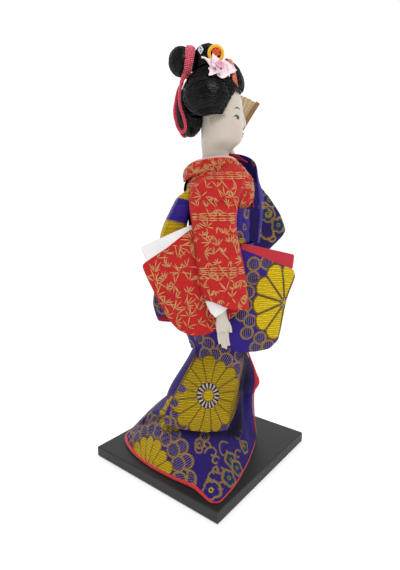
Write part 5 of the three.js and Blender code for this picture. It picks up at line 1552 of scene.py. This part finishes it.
# The left sleeve's cloth also goes round the shoulder
for piece, node_name, outline, round_it, over_it in (
    (slipped_sleeve, "slipped_sleeve", SLIPPED, 0, 0),
    (left_sleeve, "left_sleeve", LEFT_SLEEVE, SHOULDER_GIRTH, SHOULDER_LONG),
):
    place_piece(piece, node_name)
    deep, tall = outline_span(outline)
    cut = 2 * outline_area(outline) + round_it * over_it
    as_sheet(piece, 2 * deep + round_it, tall, "hung", ["kimono_bodice_cloth"], cut)


# Linings that show beyond the sleeves' edges
RIGHT_LINING = [
    (8, low(-24)), (9, low(-35.2)), (43, low(-21)), (40, low(-12)), (34, low(0)), (14, low(0)),
]
SLIPPED_LINING = [
    (-26, low(-10)), (-25, low(-22)), (-45, low(-17.6)), (-64, low(-12.8)), (-63.2, low(-3)), (-45, low(2)),
    (-30, low(4)),
]
LEFT_LINING = [*LEFT_SLEEVE[1:6], (-58, SHOULDER - 30), (-46, SHOULDER - 10), (-36, SHOULDER - 1)]
for name, sleeve, outline, place, material, slot in (
    ("right_bag_lining", "right", RIGHT_LINING, right_bag_at, white_cloth, "white_lining"),
    ("slipped_lining_cloth", "slipped", SLIPPED_LINING, slipped_at, crimson_cloth, "crimson_lining"),
    ("left_lining_cloth", "left", LEFT_LINING, left_sleeve_at, crimson_cloth, "crimson_lining"),
):
    piece = bag_sheet(name, outline, place, 0.3, -1, rings=24, around=90, waves=0.3, pull=0.12)
    thicken(piece, 0.6)
    place_piece(piece, f"{sleeve}_sleeve_lining", material=material)
    as_sheet(piece, *outline_span(outline), "hung", ["slipped_sleeve_cloth"], outline_area(outline))

cuff = remade("right_cuff_cloth", ["right_cuff_lining"], 0.35, 5)
place_piece(cuff, "right_cuff_lining", material=white_cloth)

bow = remade("obi_bow_cloth", ["obi_bow"], 0.6, 12)
bow_spots = spots(bow)
set_weave(bow, np.column_stack([bow_spots[:, 0], bow_spots[:, 2]]))
weaver = Weaver(bow, PURPLE)
# Yellow bands over the bow's upper and lower parts, with a gold line at the lower one
level = weaver.points[:, 2] - 0.25 * (weaver.points[:, 1] - 20)
everywhere = np.arange(len(level))
BOW_LOW, BOW_HIGH = 178, 195
weaver.lay(everywhere, (level < BOW_LOW).astype(float), YELLOW, 0.6)
weaver.lay(everywhere, fade(np.abs(level - BOW_LOW), 0.4, 0.8), GOLD, 1.0)
weaver.lay(everywhere, (level > BOW_HIGH).astype(float), YELLOW, 0.6)
for px, py, size in ((173, 190, 4), (180, 195, 3.6), (168, 197, 3.4)):
    scallop(weaver, (px, py), size)
weaver.finish()
place_piece(bow, "obi_bow", material=purple_cloth)


# Head, hair and hands
def skin_material():
    """Gofun, a shell-white paint rubbed smooth: satin, with a faint warm flush."""
    material = new_material("shell white paint, rubbed")
    place = add_node(material, "ShaderNodeTexCoord").outputs["Object"]
    figure = add_node(material, "ShaderNodeAttribute", {"attribute_name": "figure"}).outputs["Color"]
    soft = add_node(material, "ShaderNodeTexNoise", Vector=place, Scale=90.0, Detail=4.0)
    tone = add_node(material, "ShaderNodeMapRange", Value=soft, To_Min=0.95, To_Max=1.05)
    colour = add_node(material, "ShaderNodeVectorMath", SCALED, i0=figure, Scale=tone)
    fine = add_node(material, "ShaderNodeTexNoise", Vector=place, Scale=1500.0, Detail=2.0)
    bump = add_node(material, "ShaderNodeBump", Height=fine, Strength=0.05, Distance=0.0002)
    shader = add_node(
        material, "ShaderNodeBsdfPrincipled", Base_Color=colour, Roughness=0.42, Normal=bump,
        Subsurface_Weight=0.12, Subsurface_Scale=0.002, Coat_Weight=0.15, Coat_Roughness=0.3,
    )
    return finish_material(material, shader)


def hair_material():
    """Glossy black combed fibre: long highlights across the strands, and millimetre-wide patches of tone."""
    material = new_material("combed rayon hair")
    place = add_node(material, "ShaderNodeTexCoord").outputs["Object"]
    patches = add_node(material, "ShaderNodeTexNoise", Vector=place, Scale=900.0, Detail=2.0)
    tone = ramp_of(material, patches, [(0.3, 0x020203), (0.55, 0x070708), (0.8, 0x141315)])
    shader = add_node(
        material, "ShaderNodeBsdfPrincipled", Base_Color=tone, Roughness=0.17, Specular_IOR_Level=0.22,
    )
    return finish_material(material, shader)


skin = skin_material()
black_hair = hair_material()
SKIN = 0xC6BCAF
FLUSH, EYE_HOLLOW, EYE_WHITE, IRIS, PUPIL = 0xD08878, 0xC4B5A8, 0xD8D4CE, 0x2A1712, 0x0A0706
LASHES, UNDER_EYE, EYELID, BROW = 0x120C0A, 0x6A564C, 0xA39588, 0x1C1715
UPPER_LIP, LOWER_LIP, LIP_LINE, NOSTRIL = 0x7E1C28, 0x8C2430, 0x4A141C, 0xA8837A


HEAD_ROWS = np.array([
    # height, front, half width, back, squareness
    [0.3, -6.6, 10.4, 12.7, 2],
    [9, -6.6, 10.4, 12.7, 2],
    [13, -7.5, 11.2, 12.7, 2],
    [15.6, -10.4, 12.8, 13, 2],
    [17.8, -12.9, 14.4, 13.2, 2],
    [20.3, -15.2, 15.5, 13.2, 2.05],
    [23.8, -16.5, 16.3, 13.2, 2.15],
    [28, -16.9, 17, 13.2, 2.15],
    [33, -17, 17.6, 13.2, 2.15],
    [39.9, -16.5, 17.6, 14.2, 2.1],
    [47, -16, 17.2, 15.2, 2.1],
    [54, -13.2, 15.6, 15.2, 2],
    [60, -8, 11, 11, 2],
])


def turn_y(points, angle):
    c, s = math.cos(angle), math.sin(angle)
    x, y, z = (points[..., k] for k in range(3))
    return np.stack([x * c + z * s, y, z * c - x * s], -1)


def turn_z(points, angle):
    c, s = math.cos(angle), math.sin(angle)
    x, y, z = (points[..., k] for k in range(3))
    return np.stack([x * c - y * s, x * s + y * c, z], -1)


FACE_TURN = -0.2  # the face looks a little to the doll's right


def make_head():
    columns, rows = 400, 200
    angle = ring_angles(columns)[None, :]
    z = np.linspace(0.3, 60, rows)[:, None]
    row = through(HEAD_ROWS[:, 0], HEAD_ROWS[:, 1:], z)
    front, half_x, back, power = (row[..., k] for k in range(4))
    c, s = np.cos(angle), np.sin(angle)
    reach = oval_reach(c, s, power)
    x = half_x * c * reach
    y = (front + back) / 2 + (back - front) / 2 * s * reach
    facing = smooth(-s, 0.15, 0.8)

    def lump(at_x, at_z, wide, tall, deep):
        return deep * np.exp(-(((np.abs(x) - at_x) / wide) ** 2) - ((z - at_z) / tall) ** 2) * facing

    bridge = mix(0.5, 2.1, smooth(41 - z, 0, 9)) * smooth(z, 29.4, 31.2) * fade(z, 38, 47)
    shape = bridge * bell(x, 0, mix(1.6, 2.3, smooth(38 - z, 0, 7))) * facing
    # Nostrils, lips, the line between them, chin, eye hollows, eyes and cheeks
    for at_x, at_z, wide, tall, deep in (
        (2.1, 31.0, 1.2, 0.9, 0.7), (0, 25.5, 2.6, 0.8, 0.9), (0, 23.4, 2.2, 0.9, 0.7),
        (0, 24.5, 2.8, 0.4, -0.35), (0, 19.6, 5.0, 3.0, 0.5), (10.6, 34.6, 4.2, 2.4, -0.9),
        (11.4, 34.2, 2.6, 1.3, 0.55), (10, 27, 5, 5, 0.5),
    ):
        shape = shape + lump(at_x, at_z, wide, tall, deep)
    points = np.stack([x, y - shape, z + 0 * angle], -1)
    turned = turn_z(points, FACE_TURN)
    piece = grid_piece("painted_head", turned, closed=True, caps=True, origin=HEAD)
    piece.data.materials.append(skin)
    weaver = Weaver(piece, SKIN)
    lx, ly, lz = points.reshape(-1, 3).T
    lx = np.abs(lx)
    ahead = ly < -2
    # Distances round the face are measured along its curve
    round_face = np.degrees(np.arctan2(lx, -ly)) * 0.3
    everywhere = np.arange(len(lx))

    def paint(cover, hex_code):
        weaver.lay(everywhere, cover * ahead, hex_code)

    def oval_at(at_x, at_z, wide, tall, soft):
        return fade(np.hypot((round_face - at_x) / wide, (lz - at_z) / tall), 1 - soft, 1 + soft)

    def arc(at_x, at_z, half, rise, thick, hex_code, strength=1.0):
        level = at_z + rise * (1 - ((round_face - at_x) / half) ** 2)
        taper = np.clip(1 - np.abs((round_face - at_x) / half) ** 3, 0, 1)
        off = np.abs(lz - level)
        paint(fade(off, thick * taper * 0.6, thick * taper + 0.2) * (taper > 0) * strength, hex_code)

    for oval, strength, hex_code in (
        ((12.0, 26, 5, 5, 0.95), 0.16, FLUSH), ((12.6, 34.2, 2.7, 1.25, 0.3), 0.7, EYE_HOLLOW),
        ((12.6, 34.1, 2.3, 0.95, 0.2), 1, EYE_WHITE), ((12.5, 34.2, 1.6, 1.25, 0.2), 1, IRIS),
        ((12.4, 34.1, 0.7, 0.7, 0.2), 1, PUPIL),
    ):
        paint(oval_at(*oval) * strength, hex_code)
    arc(12.9, 34.1, 3.7, 1.25, 0.66, LASHES)
    arc(12.6, 33.4, 2.4, -0.35, 0.12, UNDER_EYE, 0.6)
    arc(12.7, 36.0, 2.8, 0.7, 0.1, EYELID, 0.6)
    arc(12.2, 39.4, 3.5, 1.3, 0.46, BROW)
    paint(oval_at(0, 25.2, 3.7, 0.95, 0.3), UPPER_LIP)
    paint(oval_at(0, 23.8, 3.0, 0.9, 0.3), LOWER_LIP)
    paint((fade(np.abs(lz - 24.5), 0.08, 0.28)) * (round_face < 2.0), LIP_LINE)
    paint(oval_at(1.0, 30.2, 0.5, 0.4, 0.4) * 0.7, NOSTRIL)
    weaver.finish()
    place_piece(piece, "head", "head")
    return piece


painted_head = make_head()


def comb(piece, coordinate, depth, pitch):
    """Combed grooves: strands at uneven places along one coordinate."""
    points, normals = spots(piece), facings(piece)
    place = coordinate(points - (HEAD - FIGURE))
    waves = sum(
        np.sin(place * TAU / (pitch * k) + phase) / k**0.2
        for k, phase in ((1.0, 0.3), (1.7, 2.1), (2.9, 4.0), (0.61, 1.2), (5.3, 0.7))
    ) / 3.2
    move_spots(piece, points + normals * (depth * (waves - 0.5))[:, None])
    set_layer(piece, "relief", "FLOAT", "value", 0.5 + 0.5 * waves)


def over_top(u, v):
    c, s = math.cos(v), math.sin(v)
    return (u, BODY_Y + 5 + 70 * c, NECK + 50 + 70 * s), (0.0, -c, -s)


def over_knot(u, v):
    c, s = math.cos(v), math.sin(v)
    return (u, BODY_Y + 17 + 60 * c, NECK + 73 + 60 * s), (0.0, -c, -s)


def from_behind(u, v):
    return (u, 150.0, v), (0.0, -1.0, 0.0)


def strands(low, high, count, start, end, drift, bend=lambda t: 0 * t, points=44, swap=False):
    """Strand lines at uneven places between two sides, which run from start to end and wander a little."""
    t = np.linspace(0, 1, points)
    lines = []
    for place in np.linspace(low, high, count) + rng.uniform(-0.15, 0.15, count):
        phase, cut = rng.uniform(0, TAU), rng.uniform(0, 0.06, 2)
        run = mix(start, end, mix(cut[0], 1 - cut[1], t))
        across = place + drift * np.sin(3 * t + phase) + bend(run)
        lines.append(np.column_stack([run, across] if swap else [across, run]))
    return lines


def lobe_bend(y):
    return -0.02 * (y - BODY_Y - 8) ** 2


def swept_bend(y):
    return -0.012 * (y - BODY_Y - 4) ** 2


def waist(lines, middle_z):
    """Strands that draw together where the tie holds them."""
    drawn = []
    for line in lines:
        pull = 1 - 0.42 * bell(line[:, 0] - BODY_Y, 22, 4.0)
        drawn.append(np.column_stack([line[:, 0], middle_z + (line[:, 1] - middle_z) * pull]))
    return drawn


def hair_strands(name, lines, radius, taper, uneven, sides=4):
    grown(
        name, lines, strand_tree, black_hair, "hair_fibre", "head",
        Radius=radius * MM, Taper=taper, Uneven=uneven, Sides=sides,
    )


KNOT_MIDDLE = 73.4  # the topknot's middle above the neck
over = strands(-20, 20, 200, math.pi + 0.3, 0.4, 0.5)
side_top = strands(NECK + 44, NECK + 74, 120, BODY_Y - 18, BODY_Y + 20, 0.4, swept_bend, 30, True)
beside = strands(NECK + 32, NECK + 66, 130, BODY_Y - 9, BODY_Y + 32, 0.35, lobe_bend, 34, True)
up_back = strands(-17, 17, 200, NECK + 20, NECK + 62, 0.5, points=30)
knot_over = strands(-11, 11, 130, math.pi + 0.8, -0.9, 0.3)
knot_side = strands(NECK + 61, NECK + 86, 120, BODY_Y - 4, BODY_Y + 36, 0.2, points=34, swap=True)
knot_side = waist(knot_side, NECK + KNOT_MIDDLE)


def lobe_height(p):
    return p[:, 2] + 0.02 * (p[:, 1] - 8) ** 2


# Each mass of hair: its mesh's fineness, its grooves' depth and pitch in mm, and what they run across
HAIR_PIECES = {
    "hair_front": (0.6, 0.35, 0.9, lambda p: np.degrees(np.arctan2(p[:, 0], p[:, 2] - 44)) * 0.42),
    "right_side_hair": (0.5, 0.4, 0.9, lobe_height),
    "left_side_hair": (0.5, 0.4, 0.9, lobe_height),
    "back_hair": (0.5, 0.35, 0.9, lambda p: np.degrees(np.arctan2(p[:, 0], p[:, 1])) * 0.5),
    "topknot": (0.5, 0.35, 0.9, lambda p: np.degrees(np.arctan2(p[:, 0], p[:, 2] - KNOT_MIDDLE)) * 0.18),
}
GROWTH = {
    "hair_front": ((over, over_top), (side_top, from_right), (side_top, from_left)),
    "right_side_hair": ((beside, from_right),),
    "left_side_hair": ((beside, from_left),),
    "back_hair": ((up_back, from_behind), (beside, from_right), (beside, from_left)),
    "topknot": ((knot_over, over_knot), (knot_side, from_right), (knot_side, from_left)),
}
for name, (voxel, depth, pitch, coordinate) in HAIR_PIECES.items():
    piece = remade(f"{name}_form", [name], voxel, 10)
    comb(piece, coordinate, depth, pitch)
    place_piece(piece, name, "head", black_hair)
    lines = []
    for family, start_of in GROWTH[name]:
        lines += laid(piece, family, start_of, 0.02)
    hair_strands(f"{name}_strands", lines, 0.2, 0.3, 0.5)

# Fine hairs that lie on the cheek before the ears
whiskers = []
for k in range(11):
    t = np.linspace(0, 1, 12)
    start_y, start_z = BODY_Y + 9.4 - 0.85 * k, NECK + 36.5
    forward, drop = (1.6 + 0.12 * k) * t**0.8, (8.4 - 0.5 * k) * t**1.3
    whiskers.append(np.column_stack([start_y - forward, start_z - drop]))
for side_name, start_of in (("right", from_right), ("left", from_left)):
    hair_strands(f"cheek_hairs_{side_name}", laid(painted_head, whiskers, start_of, 0.02), 0.14, 0.7, 0.3)


# The combed front reaches a little over the forehead
hairline = strands(-15, 15, 150, math.pi + 0.22, math.pi - 0.6, 0.4, points=14)
brow_edge = join_pieces(
    "brow_edge", [remade("brow_form", ["hair_front"], 0.8, 3), remade("brow_skin", ["head"], 0.8, 3)]
)
BROW_LOW = NECK + 49.5
hairline = [line for line in laid(brow_edge, hairline, over_top, 0.3) if line[:, 2].min() > BROW_LOW]
hair_strands("hairline_strands", hairline, 0.42, 0.35, 0.5, 5)
bpy.data.objects.remove(brow_edge)


# Hair ornaments
TIE = {"y": 22.0, "z": KNOT_MIDDLE, "radius": 8.3, "wide": 6.8, "thick": 3.8, "lean": 0.21}


def tie_point(angle, across, out):
    """A place on the tie, round its axis, along its width and out from its middle line."""
    radius = TIE["radius"] + out
    y, z = across, radius * np.sin(angle)
    c, s = math.cos(TIE["lean"]), math.sin(TIE["lean"])
    return np.stack([radius * np.cos(angle), TIE["y"] + y * c - z * s, TIE["z"] + y * s + z * c], -1)


def make_tie():
    ring = ring_angles(360)[:, None]
    section = ring_angles(60)[None, :]
    ridges = 0.16 * np.sin(ring * 46 + section * 2) * np.sin(ring * 46 - section * 5)
    gathers = 0.2 * np.sin(ring * 17 + np.sin(ring * 5))
    across = TIE["wide"] / 2 * np.sign(np.cos(section)) * np.abs(np.cos(section)) ** 0.7 + 0 * ring
    out = TIE["thick"] / 2 * np.sin(section) + (ridges + gathers) * (np.sin(section) > -0.2)
    rows = tie_point(ring, across, out)
    rows = np.concatenate([rows, rows[:1]])
    piece = grid_piece("crepe_tie", rows, closed=True, origin=HEAD)
    face_out(piece)
    place_piece(piece, "hair_tie", "head", rose_crepe)
    dots = []
    for start in ring_angles(44):
        t = np.linspace(-0.85, 0.85, 10)
        out = TIE["thick"] / 2 * np.sqrt(1 - t * t) + 0.1
        dots.append(tie_point(start + 0.16 * t, t * TIE["wide"] / 2, out))
    grown(
        "tie_dots", dots, stitch_tree, dot_crepe, "rose_crepe", "head", HEAD,
        Spacing=1.2 * MM, Long=0.42 * MM, Thick=0.4 * MM, Loose=0.3,
    )


dot_crepe = plain_cloth("rose crepe, undyed dots", 0xF090A4, 0.6, 0.6, 0.4, 0.5)
make_tie()
knot, _, _ = roll_piece(
    "crepe_knot", [(-3, 24.6, 65), (-5.4, 25.6, 62.2), (-8.4, 26.8, 59.2), (-10.6, 27.4, 56)],
    lambda t: mix(1.9, 1.2, t), 80, 24, dimple=crepe_dimples, origin=HEAD,
)
place_piece(knot, "", "head", rose_crepe)


def glitter_cloth():
    """Coral ribbon with gold glitter: each grain is a cell 0.4 mm wide, and a few of them shine."""
    material = new_material("coral glitter ribbon")
    place = add_node(material, "ShaderNodeTexCoord").outputs["Object"]
    grain = add_node(material, "ShaderNodeTexVoronoi", Vector=place, Scale=2600.0).outputs["Color"]
    lit = add_node(material, "ShaderNodeSeparateColor", Color=grain).outputs["Red"]
    tone = ramp_of(material, lit, [(0.0, 0x8E2E1E), (0.5, 0xC04C38), (0.85, 0xCC6248), (0.92, 0xE8C890)])
    bump = add_node(material, "ShaderNodeBump", Height=lit, Strength=0.5, Distance=0.0002)
    shader = add_node(material, "ShaderNodeBsdfPrincipled", Base_Color=tone, Roughness=0.35, Normal=bump)
    return finish_material(material, shader)


POMPADOUR = {"y": -4.0, "z": 58.0, "width": 16.0, "depth": 13.6, "tall": 16.6}


def ribbon_route():
    route = []
    for share in np.linspace(-1, 1, 41):
        turn = 1.95 * share
        y = mix(-5.4, -9.2, share * share)
        size = math.sqrt(1 - ((y - POMPADOUR["y"]) / POMPADOUR["depth"]) ** 2)
        x = -POMPADOUR["width"] * size * math.sin(turn)
        z = POMPADOUR["z"] + POMPADOUR["tall"] * size * math.cos(turn)
        lift = unit(np.array([
            x / POMPADOUR["width"] ** 2, (y - POMPADOUR["y"]) / POMPADOUR["depth"] ** 2,
            (z - POMPADOUR["z"]) / POMPADOUR["tall"] ** 2,
        ]))
        route.append(np.array([x, y, z]) + 0.7 * lift)
    return np.array(route)


def ribbon_out(p):
    sizes = np.array([POMPADOUR["width"], POMPADOUR["depth"], POMPADOUR["tall"]])
    return (p - [0, POMPADOUR["y"], POMPADOUR["z"]]) / sizes**2


RIBBON_WIDE, RIBBON_THICK = 3.6, 0.8
ribbon, ribbon_long = strip_piece(
    "glitter_ribbon", ribbon_route(), ribbon_out, lambda t: np.full(len(t), RIBBON_WIDE), RIBBON_THICK, 200,
    origin=HEAD,
)
place_piece(ribbon, "front_ribbon", "head", glitter_cloth())
as_sheet(ribbon, RIBBON_WIDE + RIBBON_THICK, ribbon_long, "folded", ["hair_front_form"])

FLOWER = {"place": (-19.4, 4.2, 62.4), "tilt": 0.42, "swing": 0.22}
# Each petal's direction, length, half width and cup; the inner ones stand up round the throat
PETALS = [
    (52, 12.4, 3.6, -0.2), (14, 10.0, 3.8, -0.35), (272, 12.4, 4.6, -0.2), (228, 8.6, 4.4, -0.4),
    (130, 9.8, 3.8, -0.35), (330, 6.2, 3.0, -0.8), (195, 5.6, 3.2, -0.9), (80, 6.0, 3.0, -0.8),
]


def make_petals():
    """Pointed satin petals, drawn together at the throat and ruffled at the rim."""
    petals = []
    for k, (turn, long, wide, cup) in enumerate(PETALS):
        along_it = np.linspace(0, 1, 46)[:, None]
        over_it = np.linspace(-1, 1, 37)[None, :]
        half = 1.2 * (1 - along_it) + wide * np.sin(math.pi * along_it**0.75)
        x = 1.0 + long * along_it - 0.8 * over_it**2 * along_it
        ruffle = 1.1 * np.sin(along_it * 9 + 2.1 * k + 1.5 * over_it) * over_it**2 * along_it
        rib = -0.5 * bell(over_it, 0, 0.12) * (1 - along_it)
        curl = (1.6 + 0.7 * math.sin(2.3 * k)) * over_it * np.abs(over_it) * np.sin(math.pi * along_it)
        z = 0.4 + 1.3 * over_it**2 * np.sin(math.pi * along_it) + ruffle + rib + curl - 1.4 * along_it**3
        blade = turn_y(np.stack([x, half * over_it, z + 0 * x], -1), cup)
        placed = turn_y(turn_z(blade, math.radians(turn)), FLOWER["tilt"] - math.pi / 2)
        placed = turn_z(placed, FLOWER["swing"]) + FLOWER["place"]
        petals.append(grid_piece(f"petal_{k}", placed, origin=HEAD))
    piece = thicken(join_pieces("satin_petals", petals), 0.25)
    satin = plain_cloth("pale pink satin", 0xF8E2E8, 0.3, 0.4, 0.4, 0.1)
    place_piece(piece, "flower_petals", "head", satin)
    # A petal's mean half width is that of the sine it is drawn with
    cut = sum(2 * long * (0.6 + 0.62 * wide) for _, long, wide, _ in PETALS)
    row_wide = sum(2 * wide for _, _, wide, _ in PETALS)
    row_long = max(long for _, long, _, _ in PETALS)
    as_sheet(piece, row_wide, row_long, "stretched", ["flower_throat_cloth"], cut)


make_petals()

HOOP = {"x": -12.9, "y": 4.2, "z": 75.0, "radius": 4.6, "wire": 1.15}


def make_hoop():
    """A thick moulded ring, with crumpled foil behind it."""
    ring = np.linspace(0, TAU, 160)[:, None]
    section = ring_angles(28)[None, :]
    reach = HOOP["radius"] + HOOP["wire"] * np.cos(section)
    rows = np.stack([
        HOOP["x"] + HOOP["wire"] * np.sin(section) + 0 * ring, HOOP["y"] + reach * np.cos(ring),
        HOOP["z"] + reach * np.sin(ring),
    ], -1)
    piece = face_out(grid_piece("moulded_ring", rows, closed=True, origin=HEAD))
    place_piece(piece, "ring_ornament", "head", RING_PLASTIC)
    foil = remade("crumpled_foil", ["ring_foil"], 0.25, 2)
    points, normals = spots(foil), facings(foil)
    crumple = sum(
        np.abs(np.sin(points @ np.array(way) + phase)) for way, phase in
        (((1.1, 2.3, 0.7), 0.2), ((-0.6, 1.2, 2.6), 1.9), ((0.4, -2.2, 1.8), 4.0))
    )
    move_spots(foil, points + normals * (0.45 * (crumple - 1.9))[:, None])
    place_piece(foil, "ring_foil", "head", RED_FOIL)


throat = remade("flower_throat_cloth", ["flower_throat"], 0.2, 6)
pink_throat = plain_cloth("pink satin throat", 0xE0A8BC, 0.3, 0.4, 0.4, 0.1)
place_piece(throat, "flower_throat", "head", pink_throat)

for name in ("right_hand", "left_hand"):
    piece = remade(f"{name}_painted", [name], 0.32, 6)
    Weaver(piece, SKIN).finish()
    place_piece(piece, name, material=skin)

core = remade("wound_padding", ["body_core"], 2.0, 6)
padding = plain_cloth("wound cotton padding", 0xE9E4D6, 1.2, 0.95, 0.3, 0.6)
place_piece(core, "body_core", material=padding)


# Rigid nodes that stay, with their finishes
def simple(name, hex_code, roughness, metallic=0.0, grain=0.0, scale=200.0):
    material = new_material(name)
    place = add_node(material, "ShaderNodeTexCoord").outputs["Object"]
    noise = add_node(material, "ShaderNodeTexNoise", Vector=place, Scale=scale, Detail=5.0)
    tone = add_node(material, "ShaderNodeMapRange", Value=noise, To_Min=1 - grain, To_Max=1 + grain)
    colour = add_node(material, "ShaderNodeVectorMath", SCALED, i0=linear(hex_code)[:3], Scale=tone)
    bump = add_node(material, "ShaderNodeBump", Height=noise, Strength=0.15, Distance=0.0002)
    shader = add_node(
        material, "ShaderNodeBsdfPrincipled", Base_Color=colour, Roughness=roughness,
        Metallic=metallic, Normal=bump,
    )
    return finish_material(material, shader)


BAMBOO, BAMBOO_INNER, STEEL, NICKEL = 0x8A6238, 0x6B4A2C, 0x8F9296, 0xC9CCD2
RIGID = {
    "base_board": simple("dull black lacquer on fibreboard", 0x0B0E0D, 0.55, grain=0.4, scale=160),
    "stand_rod": simple("turned softwood", 0xC8A878, 0.8, grain=0.2),
    "right_arm_wire": simple("drawn steel wire", STEEL, 0.4, metallic=1.0, grain=0.1),
    "left_arm_wire": simple("drawn steel wire, left", STEEL, 0.4, metallic=1.0, grain=0.1),
    "fan_front_guard": simple("stained bamboo", BAMBOO, 0.5, grain=0.3, scale=300),
    "fan_inner_stick": simple("stained bamboo, inner", BAMBOO_INNER, 0.5, grain=0.3, scale=300),
    "fan_rear_guard": simple("stained bamboo, rear", BAMBOO, 0.5, grain=0.3, scale=300),
    "fan_rivet": simple("brass rivet", NICKEL, 0.3, metallic=1.0, grain=0.1),
    "fan_leaf": simple("folded mulberry paper", 0xC9B48E, 0.85, grain=0.12, scale=400),
    "silver_pin": simple("plated pin", NICKEL, 0.2, metallic=1.0, grain=0.05),
}
RING_PLASTIC = simple("moulded yellow plastic", 0xE8B020, 0.35, grain=0.05)
RED_FOIL = simple("crumpled red foil", 0xD8562C, 0.28, metallic=0.5, grain=0.35, scale=500)
make_hoop()
for name, material in RIGID.items():
    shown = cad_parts[name]
    shown.data.materials.clear()
    shown.data.materials.append(material)


# Studio
def make_studio():
    mesh = bpy.data.meshes.new("studio_floor")
    half = 3.0
    corners = [(-half, -half, 0), (half, -half, 0), (half, half, 0), (-half, half, 0)]
    mesh.from_pydata(corners, [], [(0, 1, 2, 3)])
    floor = add_object("studio_floor", mesh)
    white = new_material("matt white paper")
    shader = add_node(
        white, "ShaderNodeBsdfPrincipled", Base_Color=(0.93, 0.93, 0.93, 1), Roughness=0.9,
        Emission_Color=(1, 1, 1, 1), Emission_Strength=0.25,
    )
    finish_material(white, shader)
    mesh.materials.append(white)
    world = bpy.data.worlds.new("studio")
    world.use_nodes = True
    # The studio is bright behind the doll and dim behind the camera, so that black hair stays black
    way = add_node(world, "ShaderNodeTexCoord").outputs["Generated"]
    ahead = add_node(world, "ShaderNodeSeparateXYZ", Vector=way).outputs["X"]
    bright = add_node(
        world, "ShaderNodeMapRange", Value=ahead, From_Min=-0.8, From_Max=0.2, To_Min=0.22, To_Max=1.1
    ).outputs[0]
    world.node_tree.links.new(bright, world.node_tree.nodes["Background"].inputs["Strength"])
    world.node_tree.nodes["Background"].inputs["Color"].default_value = (1, 1, 1, 1)
    bpy.context.scene.world = world
    for name, place, power, size in (
        ("key", (-0.7, -0.35, 0.95), 5.2, 0.5),
        ("fill", (-1.0, 0.8, 0.7), 2.6, 1.0),
    ):
        lamp = bpy.data.lights.new(name, "AREA")
        lamp.energy = power
        lamp.size = size
        made = add_object(name, lamp)
        made.location = place
        made.rotation_euler = (Vector((0, 0, 0.15)) - Vector(place)).to_track_quat("-Z", "Y").to_euler()
    bpy.context.scene.view_settings.view_transform = "Standard"


make_studio()
